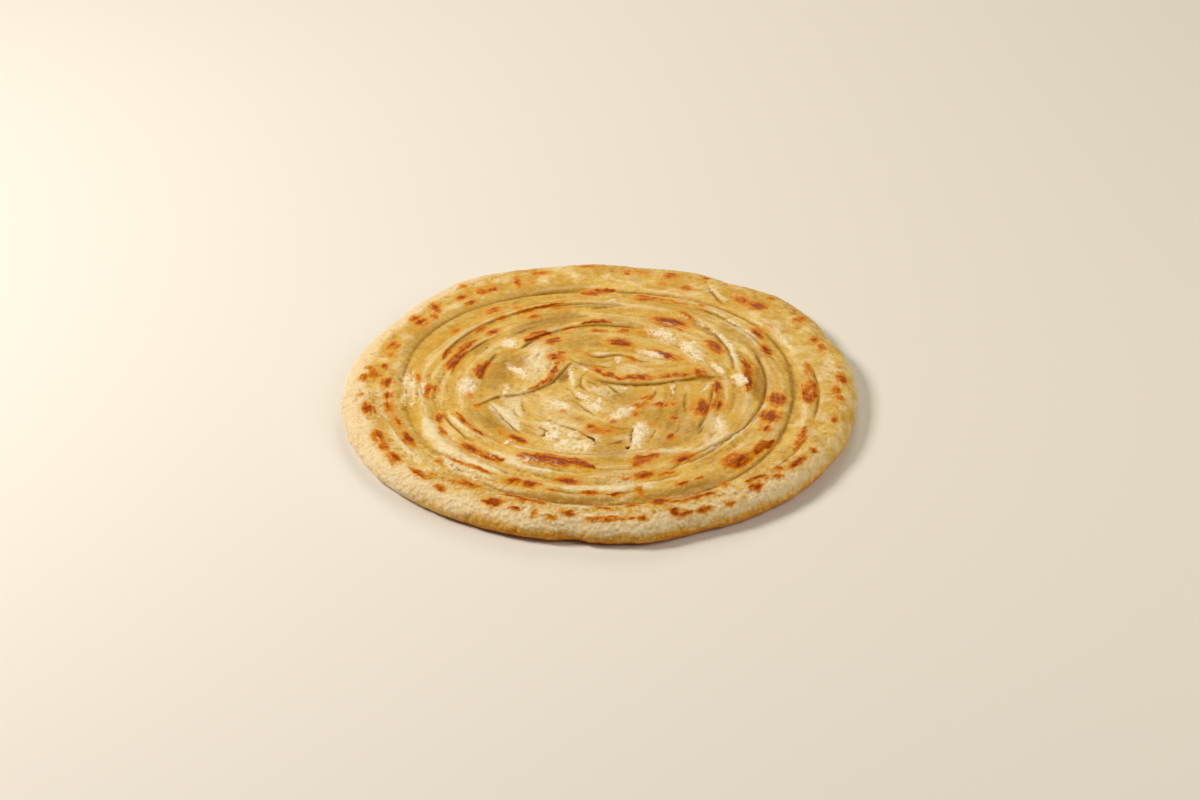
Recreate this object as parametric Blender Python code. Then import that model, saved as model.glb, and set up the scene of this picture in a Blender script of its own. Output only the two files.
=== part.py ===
"""A laccha paratha: a coiled rope of layered dough, pressed flat and browned on a griddle, in one piece.

The frame has +Z up and its origin at the centre of the base. The front of the bread is at -Y.
Lengths below are in millimetres and angles in degrees. MM turns a length to metres.
"""

import bmesh
import bpy
import numpy as np

MM = 0.001

# Size of the whole bread
MEAN_RADIUS = 94.6
RIM_HEIGHT = 8.8
COIL_HEIGHT = 8.1
EQUATOR_HEIGHT = 3.6
SHOULDER_WIDTH = 9.0
FOOT_WIDTH = 4.0

# The outline swells and pinches a little: waves round the edge (how many, height, where the first peaks)
OUTLINE_WAVES = ((2, 0.7, 12), (3, 0.2, 7), (4, 0.9, 31), (5, 0.35, -24))
# and single bulges and pinches (where, height, half width)
OUTLINE_BUMPS = (
    (6, 0.6, 8),
    (22, -1.8, 4),
    (42, 1.3, 6),
    (56, -1.6, 4),
    (90, 0.9, 6),
    (104, -0.7, 11),
    (124, 1.3, 6),
    (148, -1.2, 6),
    (264, -1.5, 4),
    (280, 1.2, 6),
    (292, -0.8, 6),
)

# The rope is wound about a point nearer the front than the middle of the bread
COIL_CENTRE = (-0.2, -7.8)
# The deep crease that parts the outer turn from the rest is a wavy ring about that point
CREASE_RADIUS = 73.7
CREASE_WAVES = ((1, 3.4, 98), (2, 1.1, -74), (3, 1.1, 35), (4, 1.1, 45))
CREASE_DEPTH = 1.0
CREASE_WIDTH = 1.5
TURN_WIDTH = 13.5
TURN_RISE = 0.3
GROOVE_WIDTH = 1.7
# The rim is a little higher in some places than in others, and the heart of the coil is sunk
RIM_HEIGHT_WAVES = ((2, 0.15, 150), (3, 0.2, 40), (7, 0.15, 10))
HEART_RADIUS = 40.0
HEART_DEPTH = 0.6

# Edges of the turns and pleats that overlap: points (angle, radius) about the coil's centre, then how high
# the fold rises, how far from its edge its crest is, and how deep the groove at its edge is. The fold lies
# outside its edge.
COIL_FOLDS = {
    "back_left_turn": (((78, 64.5), (100, 65.8), (122, 66.3), (145, 65.3), (161, 63.5)), 0.9, 2.6, 0.7),
    "left_turn": (((132, 57.5), (150, 57.6), (170, 57)), 1.0, 2.2, 0.6),
    "back_arch": (((70, 49.5), (103, 48.8), (137, 43.5)), 1.0, 2.2, 0.8),
    "left_pleat": (((139, 49), (156, 46.5), (173, 44)), 0.9, 2, 0.6),
    "back_right_turn": (((22, 69), (42, 71.8), (61, 73.6)), 0.9, 2, 0.7),
    "right_arch": (((14, 50.9), (33, 57.6), (48, 62.2), (64, 64.7)), 1.3, 2, 0.8),
    "right_turn": (((-66, 56.8), (-50, 53.6), (-25, 56.8), (3, 61.2), (30, 65.4)), 0.9, 2.5, 1.1),
    "right_rim_turn": (((-16, 79), (0, 80.3), (16, 80.5)), 0.6, 2, 0.7),
    "front_left_pleat": (((193, 54), (209, 50.8), (228, 47.5)), 0.6, 1.6, 0.5),
    "front_left_turn": (((214, 69.8), (226, 67.8), (238, 65.8)), 0.7, 2, 0.5),
    "front_turn": (((224, 47), (245, 44), (270, 42.3), (292, 42), (308, 45)), 1.5, 3.6, 1.1),
    "front_second_turn": (((228, 62), (264, 62), (300, 60.5)), 0.6, 2.6, 0.5),
    "front_rim_turn": (((236, 74.6), (271, 74.4), (306, 77.5)), 0.7, 2.2, 0.5),
}
# Rounded ridges between the edges: points (angle, radius), height and half width
COIL_RIDGES = {
    "right_rim_ridge": (((-34, 77), (-5, 76.6), (24, 76.8)), 0.8, 3),
    "right_inner_ridge": (((-8, 54.3), (10, 54.8), (27, 56)), 0.8, 2.4),
    "left_crest": (((183, 65.6), (210, 66.4), (236, 63)), 0.9, 3.2),
    "right_crest": (((-70, 63.5), (-25, 65.5), (20, 67)), 0.6, 3.5),
}
# Folds at the heart of the coil: points (x, y) from the coil's centre, then rise, crest and groove as above,
# and the side of the line on which the fold lies: 1 is left and -1 right, going from the first point
HEART_FOLDS = {
    "left_flap": (
        ((-37, -3.8), (-29.6, -2.1), (-23.5, 2), (-19, 6.5), (-16.3, 11), (-13, 19.5), (-8, 24)),
        1.8,
        3.2,
        1.3,
        1,
    ),
    "back_flap": (((-9, 31), (0, 27.5), (9, 24), (20, 20)), 0.8, 2.6, 0.7, 1),
    "right_flap": (((-4, 14), (1.3, 8.3), (8, 4.8), (17, 4), (26, 4.8), (37, 8), (45, 11)), 1.8, 4, 1.3, 1),
    "front_tongue": (((17.5, -1.5), (14, -9.5), (9.5, -14.7), (4.5, -19.5)), 1.1, 2.4, 0.9, 1),
    "front_flake": (((14.5, -22), (12.8, -30), (10, -37)), 1.1, 2.2, 0.9, 1),
    "right_pleat": (((42.6, 6), (41, -4), (39.6, -13), (34.5, -27)), 0.9, 2.4, 0.8, 1),
    "left_tongue": (((-41, -7), (-36, -15), (-30, -23), (-20, -30)), 0.8, 2.4, 0.8, 1),
}
FOLD_END = 9.0
HEART_REACH = 14.0

# The underside is flat where it met the griddle, with two creases of the coil left in it
BASE_CREASES = ((1.0, 0.7), (0.72, 0.5))
BASE_CREASE_WIDTH = 2.2
BASE_FLAT_RADIUS = 26.0

# Rings of the mesh. SPOKES is the number of points on an outer ring; it halves towards the middle.
SPOKES = 112
RIM_STEPS = (0.13, 0.36, 0.68, 1.0)
SHOULDER_STEPS = (0.70, 0.46, 0.26, 0.11, 0.03, 0.0)
FOOT_STEPS = (0.08, 0.34, 1.0)
COIL_STEP = 2.4
HALVINGS = (24.0, 12.0, 6.0)
BASE_MIDDLE_RADIUS = 9.0

CRUST_COLOUR = (0.651, 0.376, 0.089, 1.0)
CRUST_ROUGHNESS = 0.5


def ease(value, start, end):
    """0 before start, 1 after end, and a smooth rise between them."""
    t = np.clip((value - start) / (end - start), 0.0, 1.0)
    return t * t * (3.0 - 2.0 * t)


def waves(angle, rows):
    """Sum of cosine waves round a ring."""
    total = np.zeros_like(angle)
    for count, height, peak in rows:
        total += height * np.cos(count * (angle - np.radians(peak)))
    return total


def outline_radius(angle):
    """Distance of the bread's edge from the origin."""
    radius = MEAN_RADIUS + waves(angle, OUTLINE_WAVES)
    for where, height, width in OUTLINE_BUMPS:
        away = (np.degrees(angle) - where + 180.0) % 360.0 - 180.0
        radius += height * np.exp(-((away / width) ** 2))
    return radius


def crease_radius(angle):
    """Distance of the rim's crease from the coil's centre."""
    return CREASE_RADIUS + waves(angle, CREASE_WAVES)


def edge_distance(angle):
    """Distance of the bread's edge from the coil's centre."""
    distance = np.full_like(angle, MEAN_RADIUS)
    for _ in range(12):
        x = COIL_CENTRE[0] + distance * np.cos(angle)
        y = COIL_CENTRE[1] + distance * np.sin(angle)
        distance += outline_radius(np.arctan2(y, x)) - np.hypot(x, y)
    return distance


def curve_through(points):
    """A smooth curve through a few points, as an array of close points."""
    knots = np.array(points, float)
    knots = np.vstack([2 * knots[0] - knots[1], knots, 2 * knots[-1] - knots[-2]])
    curve = []
    for before, start, end, after in zip(knots, knots[1:], knots[2:], knots[3:]):
        for t in np.linspace(0.0, 1.0, 8, endpoint=False):
            bend = 2 * before - 5 * start + 4 * end - after
            twist = 3 * start - before - 3 * end + after
            curve.append(start + 0.5 * ((end - before) * t + bend * t**2 + twist * t**3))
    curve.append(knots[-2])
    return np.array(curve)


def along_coil(radius, angle, points):
    """How far each place is outside a coil line, and a factor that fades out at the line's ends."""
    line = curve_through(points)
    turn = (np.degrees(angle) - line[0, 0]) % 360.0
    span = line[-1, 0] - line[0, 0]
    line_radius = np.interp(turn, line[:, 0] - line[0, 0], line[:, 1])
    travelled = np.radians(turn) * line_radius
    left = np.radians(span - turn) * line_radius
    fade = ease(travelled, 0.0, FOLD_END) * ease(left, 0.0, FOLD_END)
    return radius - line_radius, np.where(turn < span, fade, 0.0)


def along_line(x, y, points):
    """The same for a line across the heart of the coil: distance is positive on its left."""
    line = curve_through(points)
    nearest = np.full_like(x, np.inf)
    offset = np.zeros_like(x)
    travelled = np.zeros_like(x)
    so_far = 0.0
    for (x0, y0), (x1, y1) in zip(line, line[1:]):
        run_x, run_y = x1 - x0, y1 - y0
        length = np.hypot(run_x, run_y)
        part = np.clip(((x - x0) * run_x + (y - y0) * run_y) / length**2, 0.0, 1.0)
        gap = np.hypot(x - x0 - part * run_x, y - y0 - part * run_y)
        side = np.sign(run_x * (y - y0) - run_y * (x - x0))
        closer = gap < nearest
        nearest = np.where(closer, gap, nearest)
        offset = np.where(closer, gap * side, offset)
        travelled = np.where(closer, so_far + part * length, travelled)
        so_far += length
    fade = ease(travelled, 0.0, FOLD_END) * ease(so_far - travelled, 0.0, FOLD_END)
    return offset, fade * np.exp(-((offset / HEART_REACH) ** 4))


def fold_shape(offset, rise, crest, groove):
    """Section of a fold: a groove at its edge, a steep rise to the crest and a long fall behind it."""
    inside = np.maximum(offset, 0.0) / crest
    return rise * inside * np.exp(1.0 - inside) - groove * np.exp(-((offset / GROOVE_WIDTH) ** 2))


def top_height(x, y):
    """Height of the upper face over a place in the plan."""
    edge = outline_radius(np.arctan2(y, x)) - np.hypot(x, y)
    from_centre_x, from_centre_y = x - COIL_CENTRE[0], y - COIL_CENTRE[1]
    radius = np.hypot(from_centre_x, from_centre_y)
    angle = np.arctan2(from_centre_y, from_centre_x)
    past_crease = radius - crease_radius(angle)

    on_rim = ease(past_crease, -1.0, 5.0)
    off_heart = ease(radius, HEART_RADIUS - 15.0, HEART_RADIUS + 5.0)
    turns = TURN_RISE * np.cos(2.0 * np.pi * (radius - 66.0) / TURN_WIDTH) * off_heart
    rim_rise = RIM_HEIGHT - COIL_HEIGHT + waves(angle, RIM_HEIGHT_WAVES)
    height = COIL_HEIGHT - HEART_DEPTH * (1.0 - off_heart)
    height += turns * (1.0 - on_rim) + rim_rise * on_rim

    for points, rise, crest, groove in COIL_FOLDS.values():
        offset, fade = along_coil(radius, angle, points)
        height += fade * fold_shape(offset, rise, crest, groove)
    for points, rise, width in COIL_RIDGES.values():
        offset, fade = along_coil(radius, angle, points)
        height += fade * rise * np.exp(-((offset / width) ** 2))
    for points, rise, crest, groove, side in HEART_FOLDS.values():
        offset, fade = along_line(from_centre_x, from_centre_y, points)
        height += fade * fold_shape(side * offset, rise, crest, groove)
    height -= CREASE_DEPTH * np.exp(-((past_crease / CREASE_WIDTH) ** 2))

    shoulder = 1.0 - np.clip(edge / SHOULDER_WIDTH, 0.0, 1.0)
    roundness = np.sqrt(np.maximum(1.0 - shoulder**2.2, 0.0))
    return EQUATOR_HEIGHT + (height - EQUATOR_HEIGHT) * roundness


def base_height(x, y):
    """Height of the underside over a place in the plan."""
    edge = outline_radius(np.arctan2(y, x)) - np.hypot(x, y)
    from_centre_x, from_centre_y = x - COIL_CENTRE[0], y - COIL_CENTRE[1]
    radius = np.hypot(from_centre_x, from_centre_y)
    crease = crease_radius(np.arctan2(from_centre_y, from_centre_x))
    foot = 1.0 - np.clip(edge / FOOT_WIDTH, 0.0, 1.0)
    height = EQUATOR_HEIGHT * (1.0 - np.sqrt(1.0 - foot**2))
    for share, depth in BASE_CREASES:
        height += depth * np.maximum(1.0 - np.abs(radius - share * crease) / BASE_CREASE_WIDTH, 0.0)
    return height


def moved_to_folds(radius, angle):
    """Moves the places nearest to a fold's edge onto it, so that its groove runs clean along the mesh."""
    for points, _, _, _ in COIL_FOLDS.values():
        offset, fade = along_coil(radius, angle, points)
        near = (np.abs(offset) < COIL_STEP / 2.0) & (fade > 0.0)
        radius = np.where(near, radius - offset, radius)
    return radius


def ring_of_points(spokes, distance_of, height_of):
    """Points of one ring about the coil's centre."""
    angle = np.linspace(0.0, 2.0 * np.pi, spokes, endpoint=False)
    distance = distance_of(angle)
    x = COIL_CENTRE[0] + distance * np.cos(angle)
    y = COIL_CENTRE[1] + distance * np.sin(angle)
    return np.column_stack([x, y, height_of(x, y)])


def spokes_at(radius):
    """Number of points on a ring: it halves at each of the set radii."""
    halved = sum(radius < limit for limit in HALVINGS)
    return SPOKES // 2**halved


def top_rings():
    """Rings of the upper face, from the middle out to the widest line."""
    rings = []
    steps = int(round(CREASE_RADIUS / COIL_STEP))
    for step in range(1, steps + 1):
        share = step / steps
        spokes = spokes_at(share * CREASE_RADIUS)

        def on_coil(angle, share=share):
            radius = share * crease_radius(angle)
            return radius if share == 1.0 else moved_to_folds(radius, angle)

        rings.append(ring_of_points(spokes, on_coil, top_height))
    for share in RIM_STEPS:

        def on_rim(angle, share=share):
            inner = crease_radius(angle)
            return inner + share * (edge_distance(angle) - SHOULDER_WIDTH - inner)

        rings.append(ring_of_points(SPOKES, on_rim, top_height))
    for share in SHOULDER_STEPS:
        inset = share * SHOULDER_WIDTH
        rings.append(ring_of_points(SPOKES, lambda a, d=inset: edge_distance(a) - d, top_height))
    return rings


def base_rings():
    """Rings of the underside, from the foot in to the flat middle."""
    rings = []
    for share in FOOT_STEPS:
        inset = share * FOOT_WIDTH
        rings.append(ring_of_points(SPOKES, lambda a, d=inset: edge_distance(a) - d, base_height))
    for share, _ in BASE_CREASES:
        for shift in (BASE_CREASE_WIDTH, 0.0, -BASE_CREASE_WIDTH):
            rings.append(
                ring_of_points(
                    SPOKES // 2, lambda a, s=share, d=shift: s * crease_radius(a) + d, base_height
                )
            )
    rings.append(ring_of_points(SPOKES // 4, lambda a: np.full_like(a, BASE_FLAT_RADIUS), base_height))
    middle_spokes = SPOKES // 8
    rings.append(ring_of_points(middle_spokes, lambda a: np.full_like(a, BASE_MIDDLE_RADIUS), base_height))
    return rings


def add_ring(mesh, points):
    """A circle of vertices moved to the ring's points."""
    made = bmesh.ops.create_circle(mesh, cap_ends=False, radius=1.0, segments=len(points))
    for vertex, point in zip(made["verts"], points):
        vertex.co = point * MM
    return made["verts"]


def join_rings(mesh, first, second):
    """Faces between two rings, one of which may have half as many points as the other."""
    count = min(len(first), len(second))
    for i in range(count):
        j = (i + 1) % count
        if len(first) == len(second):
            mesh.faces.new((first[i], second[i], second[j], first[j]))
        elif len(first) < len(second):
            middle = second[2 * i + 1]
            mesh.faces.new((first[i], second[2 * i], middle))
            mesh.faces.new((first[i], middle, first[j]))
            mesh.faces.new((first[j], middle, second[2 * j]))
        else:
            middle = first[2 * i + 1]
            mesh.faces.new((first[2 * i], second[i], middle))
            mesh.faces.new((middle, second[i], second[j]))
            mesh.faces.new((first[2 * j], middle, second[j]))


def close_middle(mesh, ring, height, faces_up):
    """A fan of faces from a ring to one point at the coil's centre."""
    middle = mesh.verts.new(np.array([*COIL_CENTRE, height]) * MM)
    for this, following in zip(ring, ring[1:] + ring[:1]):
        corners = (middle, this, following) if faces_up else (middle, following, this)
        mesh.faces.new(corners)


def centre_on_origin(mesh):
    """Slides the mesh in its plane until the middle of its box is over the origin."""
    plan = np.array([vertex.co[:2] for vertex in mesh.verts])
    middle = (plan.min(axis=0) + plan.max(axis=0)) / 2.0
    bmesh.ops.translate(mesh, verts=mesh.verts[:], vec=(-middle[0], -middle[1], 0.0))


def crust_material():
    """Browned dough with a thin film of ghee."""
    material = bpy.data.materials.new("browned_dough")
    material.use_nodes = True
    shader = material.node_tree.nodes["Principled BSDF"]
    shader.inputs["Base Color"].default_value = CRUST_COLOUR
    shader.inputs["Roughness"].default_value = CRUST_ROUGHNESS
    shader.inputs["Metallic"].default_value = 0.0
    material.diffuse_color = CRUST_COLOUR
    return material


def paratha():
    """The whole bread as one closed body."""
    mesh = bmesh.new()
    rings = [add_ring(mesh, points) for points in top_rings() + base_rings()]
    for first, second in zip(rings, rings[1:]):
        join_rings(mesh, first, second)
    centre = np.array(COIL_CENTRE)[:, None]
    middle_height = top_height(centre[0], centre[1])[0]
    close_middle(mesh, rings[0], middle_height, True)
    close_middle(mesh, rings[-1], 0.0, False)
    centre_on_origin(mesh)
    bmesh.ops.triangulate(mesh, faces=mesh.faces[:], quad_method="BEAUTY")
    bmesh.ops.recalc_face_normals(mesh, faces=mesh.faces[:])

    data = bpy.data.meshes.new("paratha")
    mesh.to_mesh(data)
    mesh.free()
    data.shade_smooth()
    data.materials.append(crust_material())
    body = bpy.data.objects.new("paratha", data)
    bpy.context.scene.collection.objects.link(body)
    return body


for leftover in list(bpy.data.objects):
    bpy.data.objects.remove(leftover, do_unlink=True)
paratha()
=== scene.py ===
import math

import bmesh
import bpy
import numpy as np
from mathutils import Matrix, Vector, noise


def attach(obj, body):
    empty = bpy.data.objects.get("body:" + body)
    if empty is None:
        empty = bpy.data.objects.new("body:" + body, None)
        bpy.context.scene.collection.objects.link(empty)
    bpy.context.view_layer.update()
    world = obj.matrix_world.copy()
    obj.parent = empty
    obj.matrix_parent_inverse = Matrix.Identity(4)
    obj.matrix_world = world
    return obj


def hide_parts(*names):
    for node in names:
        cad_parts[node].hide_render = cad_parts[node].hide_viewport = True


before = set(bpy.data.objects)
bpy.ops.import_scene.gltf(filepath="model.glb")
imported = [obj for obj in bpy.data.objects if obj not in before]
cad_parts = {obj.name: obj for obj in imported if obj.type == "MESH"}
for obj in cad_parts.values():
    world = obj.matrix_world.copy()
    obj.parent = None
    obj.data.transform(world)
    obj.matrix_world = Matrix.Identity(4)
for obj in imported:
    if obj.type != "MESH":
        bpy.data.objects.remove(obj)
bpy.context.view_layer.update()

# The blank: a round of wheat dough, rolled out 19 cm across and about 9 mm thick, still plain and even.
# It is a disc grown ring by ring from its middle, its side is drawn down and a second disc closes its base.
# Lengths are in millimetres and MM turns them to metres.
MM = 0.001
MEAN_RADIUS = 94.6
CREASE_RADIUS = 73.7
SHOULDER_WIDTH = 9.0
PLAIN_RADIUS = MEAN_RADIUS - SHOULDER_WIDTH
BLANK_DEPTH = 4.0
FIRST_POINTS = 11
TOP_STEP = 0.65
TOP_DOUBLE_AT = (1.3, 2.6, 5.2, 10.4, 19.5, 39.0)
SHOULDER_RINGS = 20
SIDE_RINGS = 8
BASE_STEP = 1.6
BASE_DOUBLE_AT = (2.6, 5.2, 10.4, 20.8, 45.0, MEAN_RADIUS)
MERGE_DISTANCE = 0.02


def select_outer_loop():
    """Selects the open edge of the disc in edit mode."""
    bpy.ops.mesh.select_all(action="DESELECT")
    bpy.ops.mesh.select_mode(type="EDGE")
    bpy.ops.mesh.select_non_manifold(
        use_wire=False, use_multi_face=False, use_non_contiguous=False, use_verts=False
    )


def draw_out(factor, drop, rings):
    """Extrudes the open edge, widened by factor and lowered by drop, and cuts the new band into rings."""
    select_outer_loop()
    bpy.ops.mesh.extrude_edges_move()
    bpy.ops.transform.resize(value=(factor, factor, 1.0), center_override=(0.0, 0.0, 0.0))
    bpy.ops.transform.translate(value=(0.0, 0.0, -drop))
    if rings > 1:
        edit = bmesh.from_edit_mesh(bpy.context.object.data)
        new = {vertex for vertex in edit.verts if vertex.select}
        for edge in edit.edges:
            edge.select_set((edge.verts[0] in new) != (edge.verts[1] in new))
        bpy.ops.mesh.subdivide_edgering(number_cuts=rings - 1, interpolation="LINEAR", smoothness=0.0)


def grown_disc(step, stops, doublings, height):
    """A flat disc grown out to each stop by rings a step wide, with twice the points after each doubling."""
    bpy.ops.object.select_all(action="DESELECT")
    bpy.ops.mesh.primitive_circle_add(
        vertices=FIRST_POINTS, radius=step * MM, fill_type="TRIFAN", location=(0.0, 0.0, height * MM)
    )
    bpy.ops.object.transform_apply(location=True)
    bpy.ops.object.mode_set(mode="EDIT")
    radius = step
    for stop in stops:
        draw_out(stop / radius, 0.0, max(1, round((stop - radius) / step)))
        radius = stop
        if stop in doublings:
            select_outer_loop()
            bpy.ops.mesh.subdivide(number_cuts=1, ngon=False)
    bpy.ops.object.mode_set(mode="OBJECT")
    return bpy.context.object


bread = grown_disc(TOP_STEP, (*TOP_DOUBLE_AT, CREASE_RADIUS, PLAIN_RADIUS), TOP_DOUBLE_AT, 0.0)
bpy.ops.object.mode_set(mode="EDIT")
draw_out(MEAN_RADIUS / PLAIN_RADIUS, 0.0, SHOULDER_RINGS)
draw_out(1.0, BLANK_DEPTH * MM, SIDE_RINGS)
bpy.ops.object.mode_set(mode="OBJECT")

# The base has as many points on its edge as the side, so merging joins them point for point.
base = grown_disc(BASE_STEP, BASE_DOUBLE_AT, BASE_DOUBLE_AT, -BLANK_DEPTH)
base.select_set(True)
bread.select_set(True)
bpy.context.view_layer.objects.active = bread
bpy.ops.object.join()
bpy.ops.object.mode_set(mode="EDIT")
bpy.ops.mesh.select_all(action="SELECT")
bpy.ops.mesh.remove_doubles(threshold=MERGE_DISTANCE * MM)
bpy.ops.mesh.normals_make_consistent(inside=False)
bpy.ops.object.mode_set(mode="OBJECT")
bread.name = "griddled_bread"
bread.data.name = "griddled_bread"

# The outline and the rim: the disc was patted round by hand, so its edge swells and pinches.
# The outer turn of the rope is wider at the back, because the coil was wound nearer the front.
# Every point of the blank moves out or in along its own spoke from the coil's centre.
COIL_CENTRE = (-0.2, -7.8)
FOOT_WIDTH = 4.0
SLACK = 0.01
EDGE_ROUNDS = 12
# Waves are (how many round the ring, height, degrees of the first peak), bumps (degrees, height, half width).
OUTLINE_WAVES = ((2, 0.7, 12), (3, 0.2, 7), (4, 0.9, 31), (5, 0.35, -24))
OUTLINE_BUMPS = (
    (6, 0.6, 8), (22, -1.8, 4), (42, 1.3, 6), (56, -1.6, 4), (66, 0.5, 6), (80, -0.6, 4), (90, 0.9, 6),
    (104, -0.7, 11), (124, 1.3, 6), (148, -1.2, 6), (168, 0.5, 11), (204, -0.5, 8), (264, -1.5, 4),
    (280, 1.2, 6), (292, -0.8, 6), (330, -0.6, 4),
)
CREASE_WAVES = ((1, 3.4, 98), (2, 1.1, -74), (3, 1.1, 35), (4, 1.1, 45))


def away_from(degrees, where):
    """Degrees from a direction, between -180 and 180."""
    return (degrees - where + 180.0) % 360.0 - 180.0


def waves(angle, rows):
    """Sum of cosine waves round a ring."""
    return sum(height * np.cos(count * (angle - np.radians(peak))) for count, height, peak in rows)


def outline_radius(angle):
    """Distance of the bread's edge from the middle of its outline."""
    radius = MEAN_RADIUS + waves(angle, OUTLINE_WAVES)
    for where, height, width in OUTLINE_BUMPS:
        radius += height * np.exp(-((away_from(np.degrees(angle), where) / width) ** 2))
    return radius


def crease_radius(angle):
    """Distance of the rim's crease from the coil's centre."""
    return CREASE_RADIUS + waves(angle, CREASE_WAVES)


def edge_distance(angle):
    """Distance of the bread's edge from the coil's centre, found by walking out along each spoke."""
    distance = np.full_like(angle, MEAN_RADIUS)
    for _ in range(EDGE_ROUNDS):
        x = COIL_CENTRE[0] + distance * np.cos(angle)
        y = COIL_CENTRE[1] + distance * np.sin(angle)
        distance += outline_radius(np.arctan2(y, x)) - np.hypot(x, y)
    return distance


blank = np.empty(len(bread.data.vertices) * 3)
bread.data.vertices.foreach_get("co", blank)
blank = blank.reshape(-1, 3) / MM
angle = np.arctan2(blank[:, 1], blank[:, 0])
# A doubling puts its new points on the straight edges between the first spokes, a little short of the ring.
# So the ring's radius is worked out for each point from how far it is from the middle of its edge.
wedge = 2.0 * np.pi / FIRST_POINTS
off_middle = (angle - np.pi / 2.0) % wedge - wedge / 2.0
blank_radius = np.hypot(blank[:, 0], blank[:, 1]) * np.cos(off_middle) / np.cos(wedge / 2.0)
is_top = blank[:, 2] > -SLACK
is_base = (blank[:, 2] < -BLANK_DEPTH + SLACK) & (blank_radius < MEAN_RADIUS - SLACK)
is_side = ~is_top & ~is_base

crease = crease_radius(angle)
edge = edge_distance(angle)
rim_share = np.clip((blank_radius - CREASE_RADIUS) / (PLAIN_RADIUS - CREASE_RADIUS), 0.0, 1.0)
shoulder_share = np.clip((blank_radius - PLAIN_RADIUS) / SHOULDER_WIDTH, 0.0, 1.0)
foot_turn = np.clip(-blank[:, 2] / BLANK_DEPTH, 0.0, 1.0) * np.pi / 2.0
on_shoulder = SHOULDER_WIDTH * np.sin(shoulder_share * np.pi / 2.0)
on_rim = crease + rim_share * (edge - SHOULDER_WIDTH - crease) + on_shoulder
on_top = np.where(blank_radius < CREASE_RADIUS, blank_radius / CREASE_RADIUS * crease, on_rim)
on_side = edge - FOOT_WIDTH * (1.0 - np.cos(foot_turn))
on_base = blank_radius / MEAN_RADIUS * (edge - FOOT_WIDTH)
radius = np.where(is_top, on_top, np.where(is_base, on_base, on_side))
x = COIL_CENTRE[0] + radius * np.cos(angle)
y = COIL_CENTRE[1] + radius * np.sin(angle)

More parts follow.
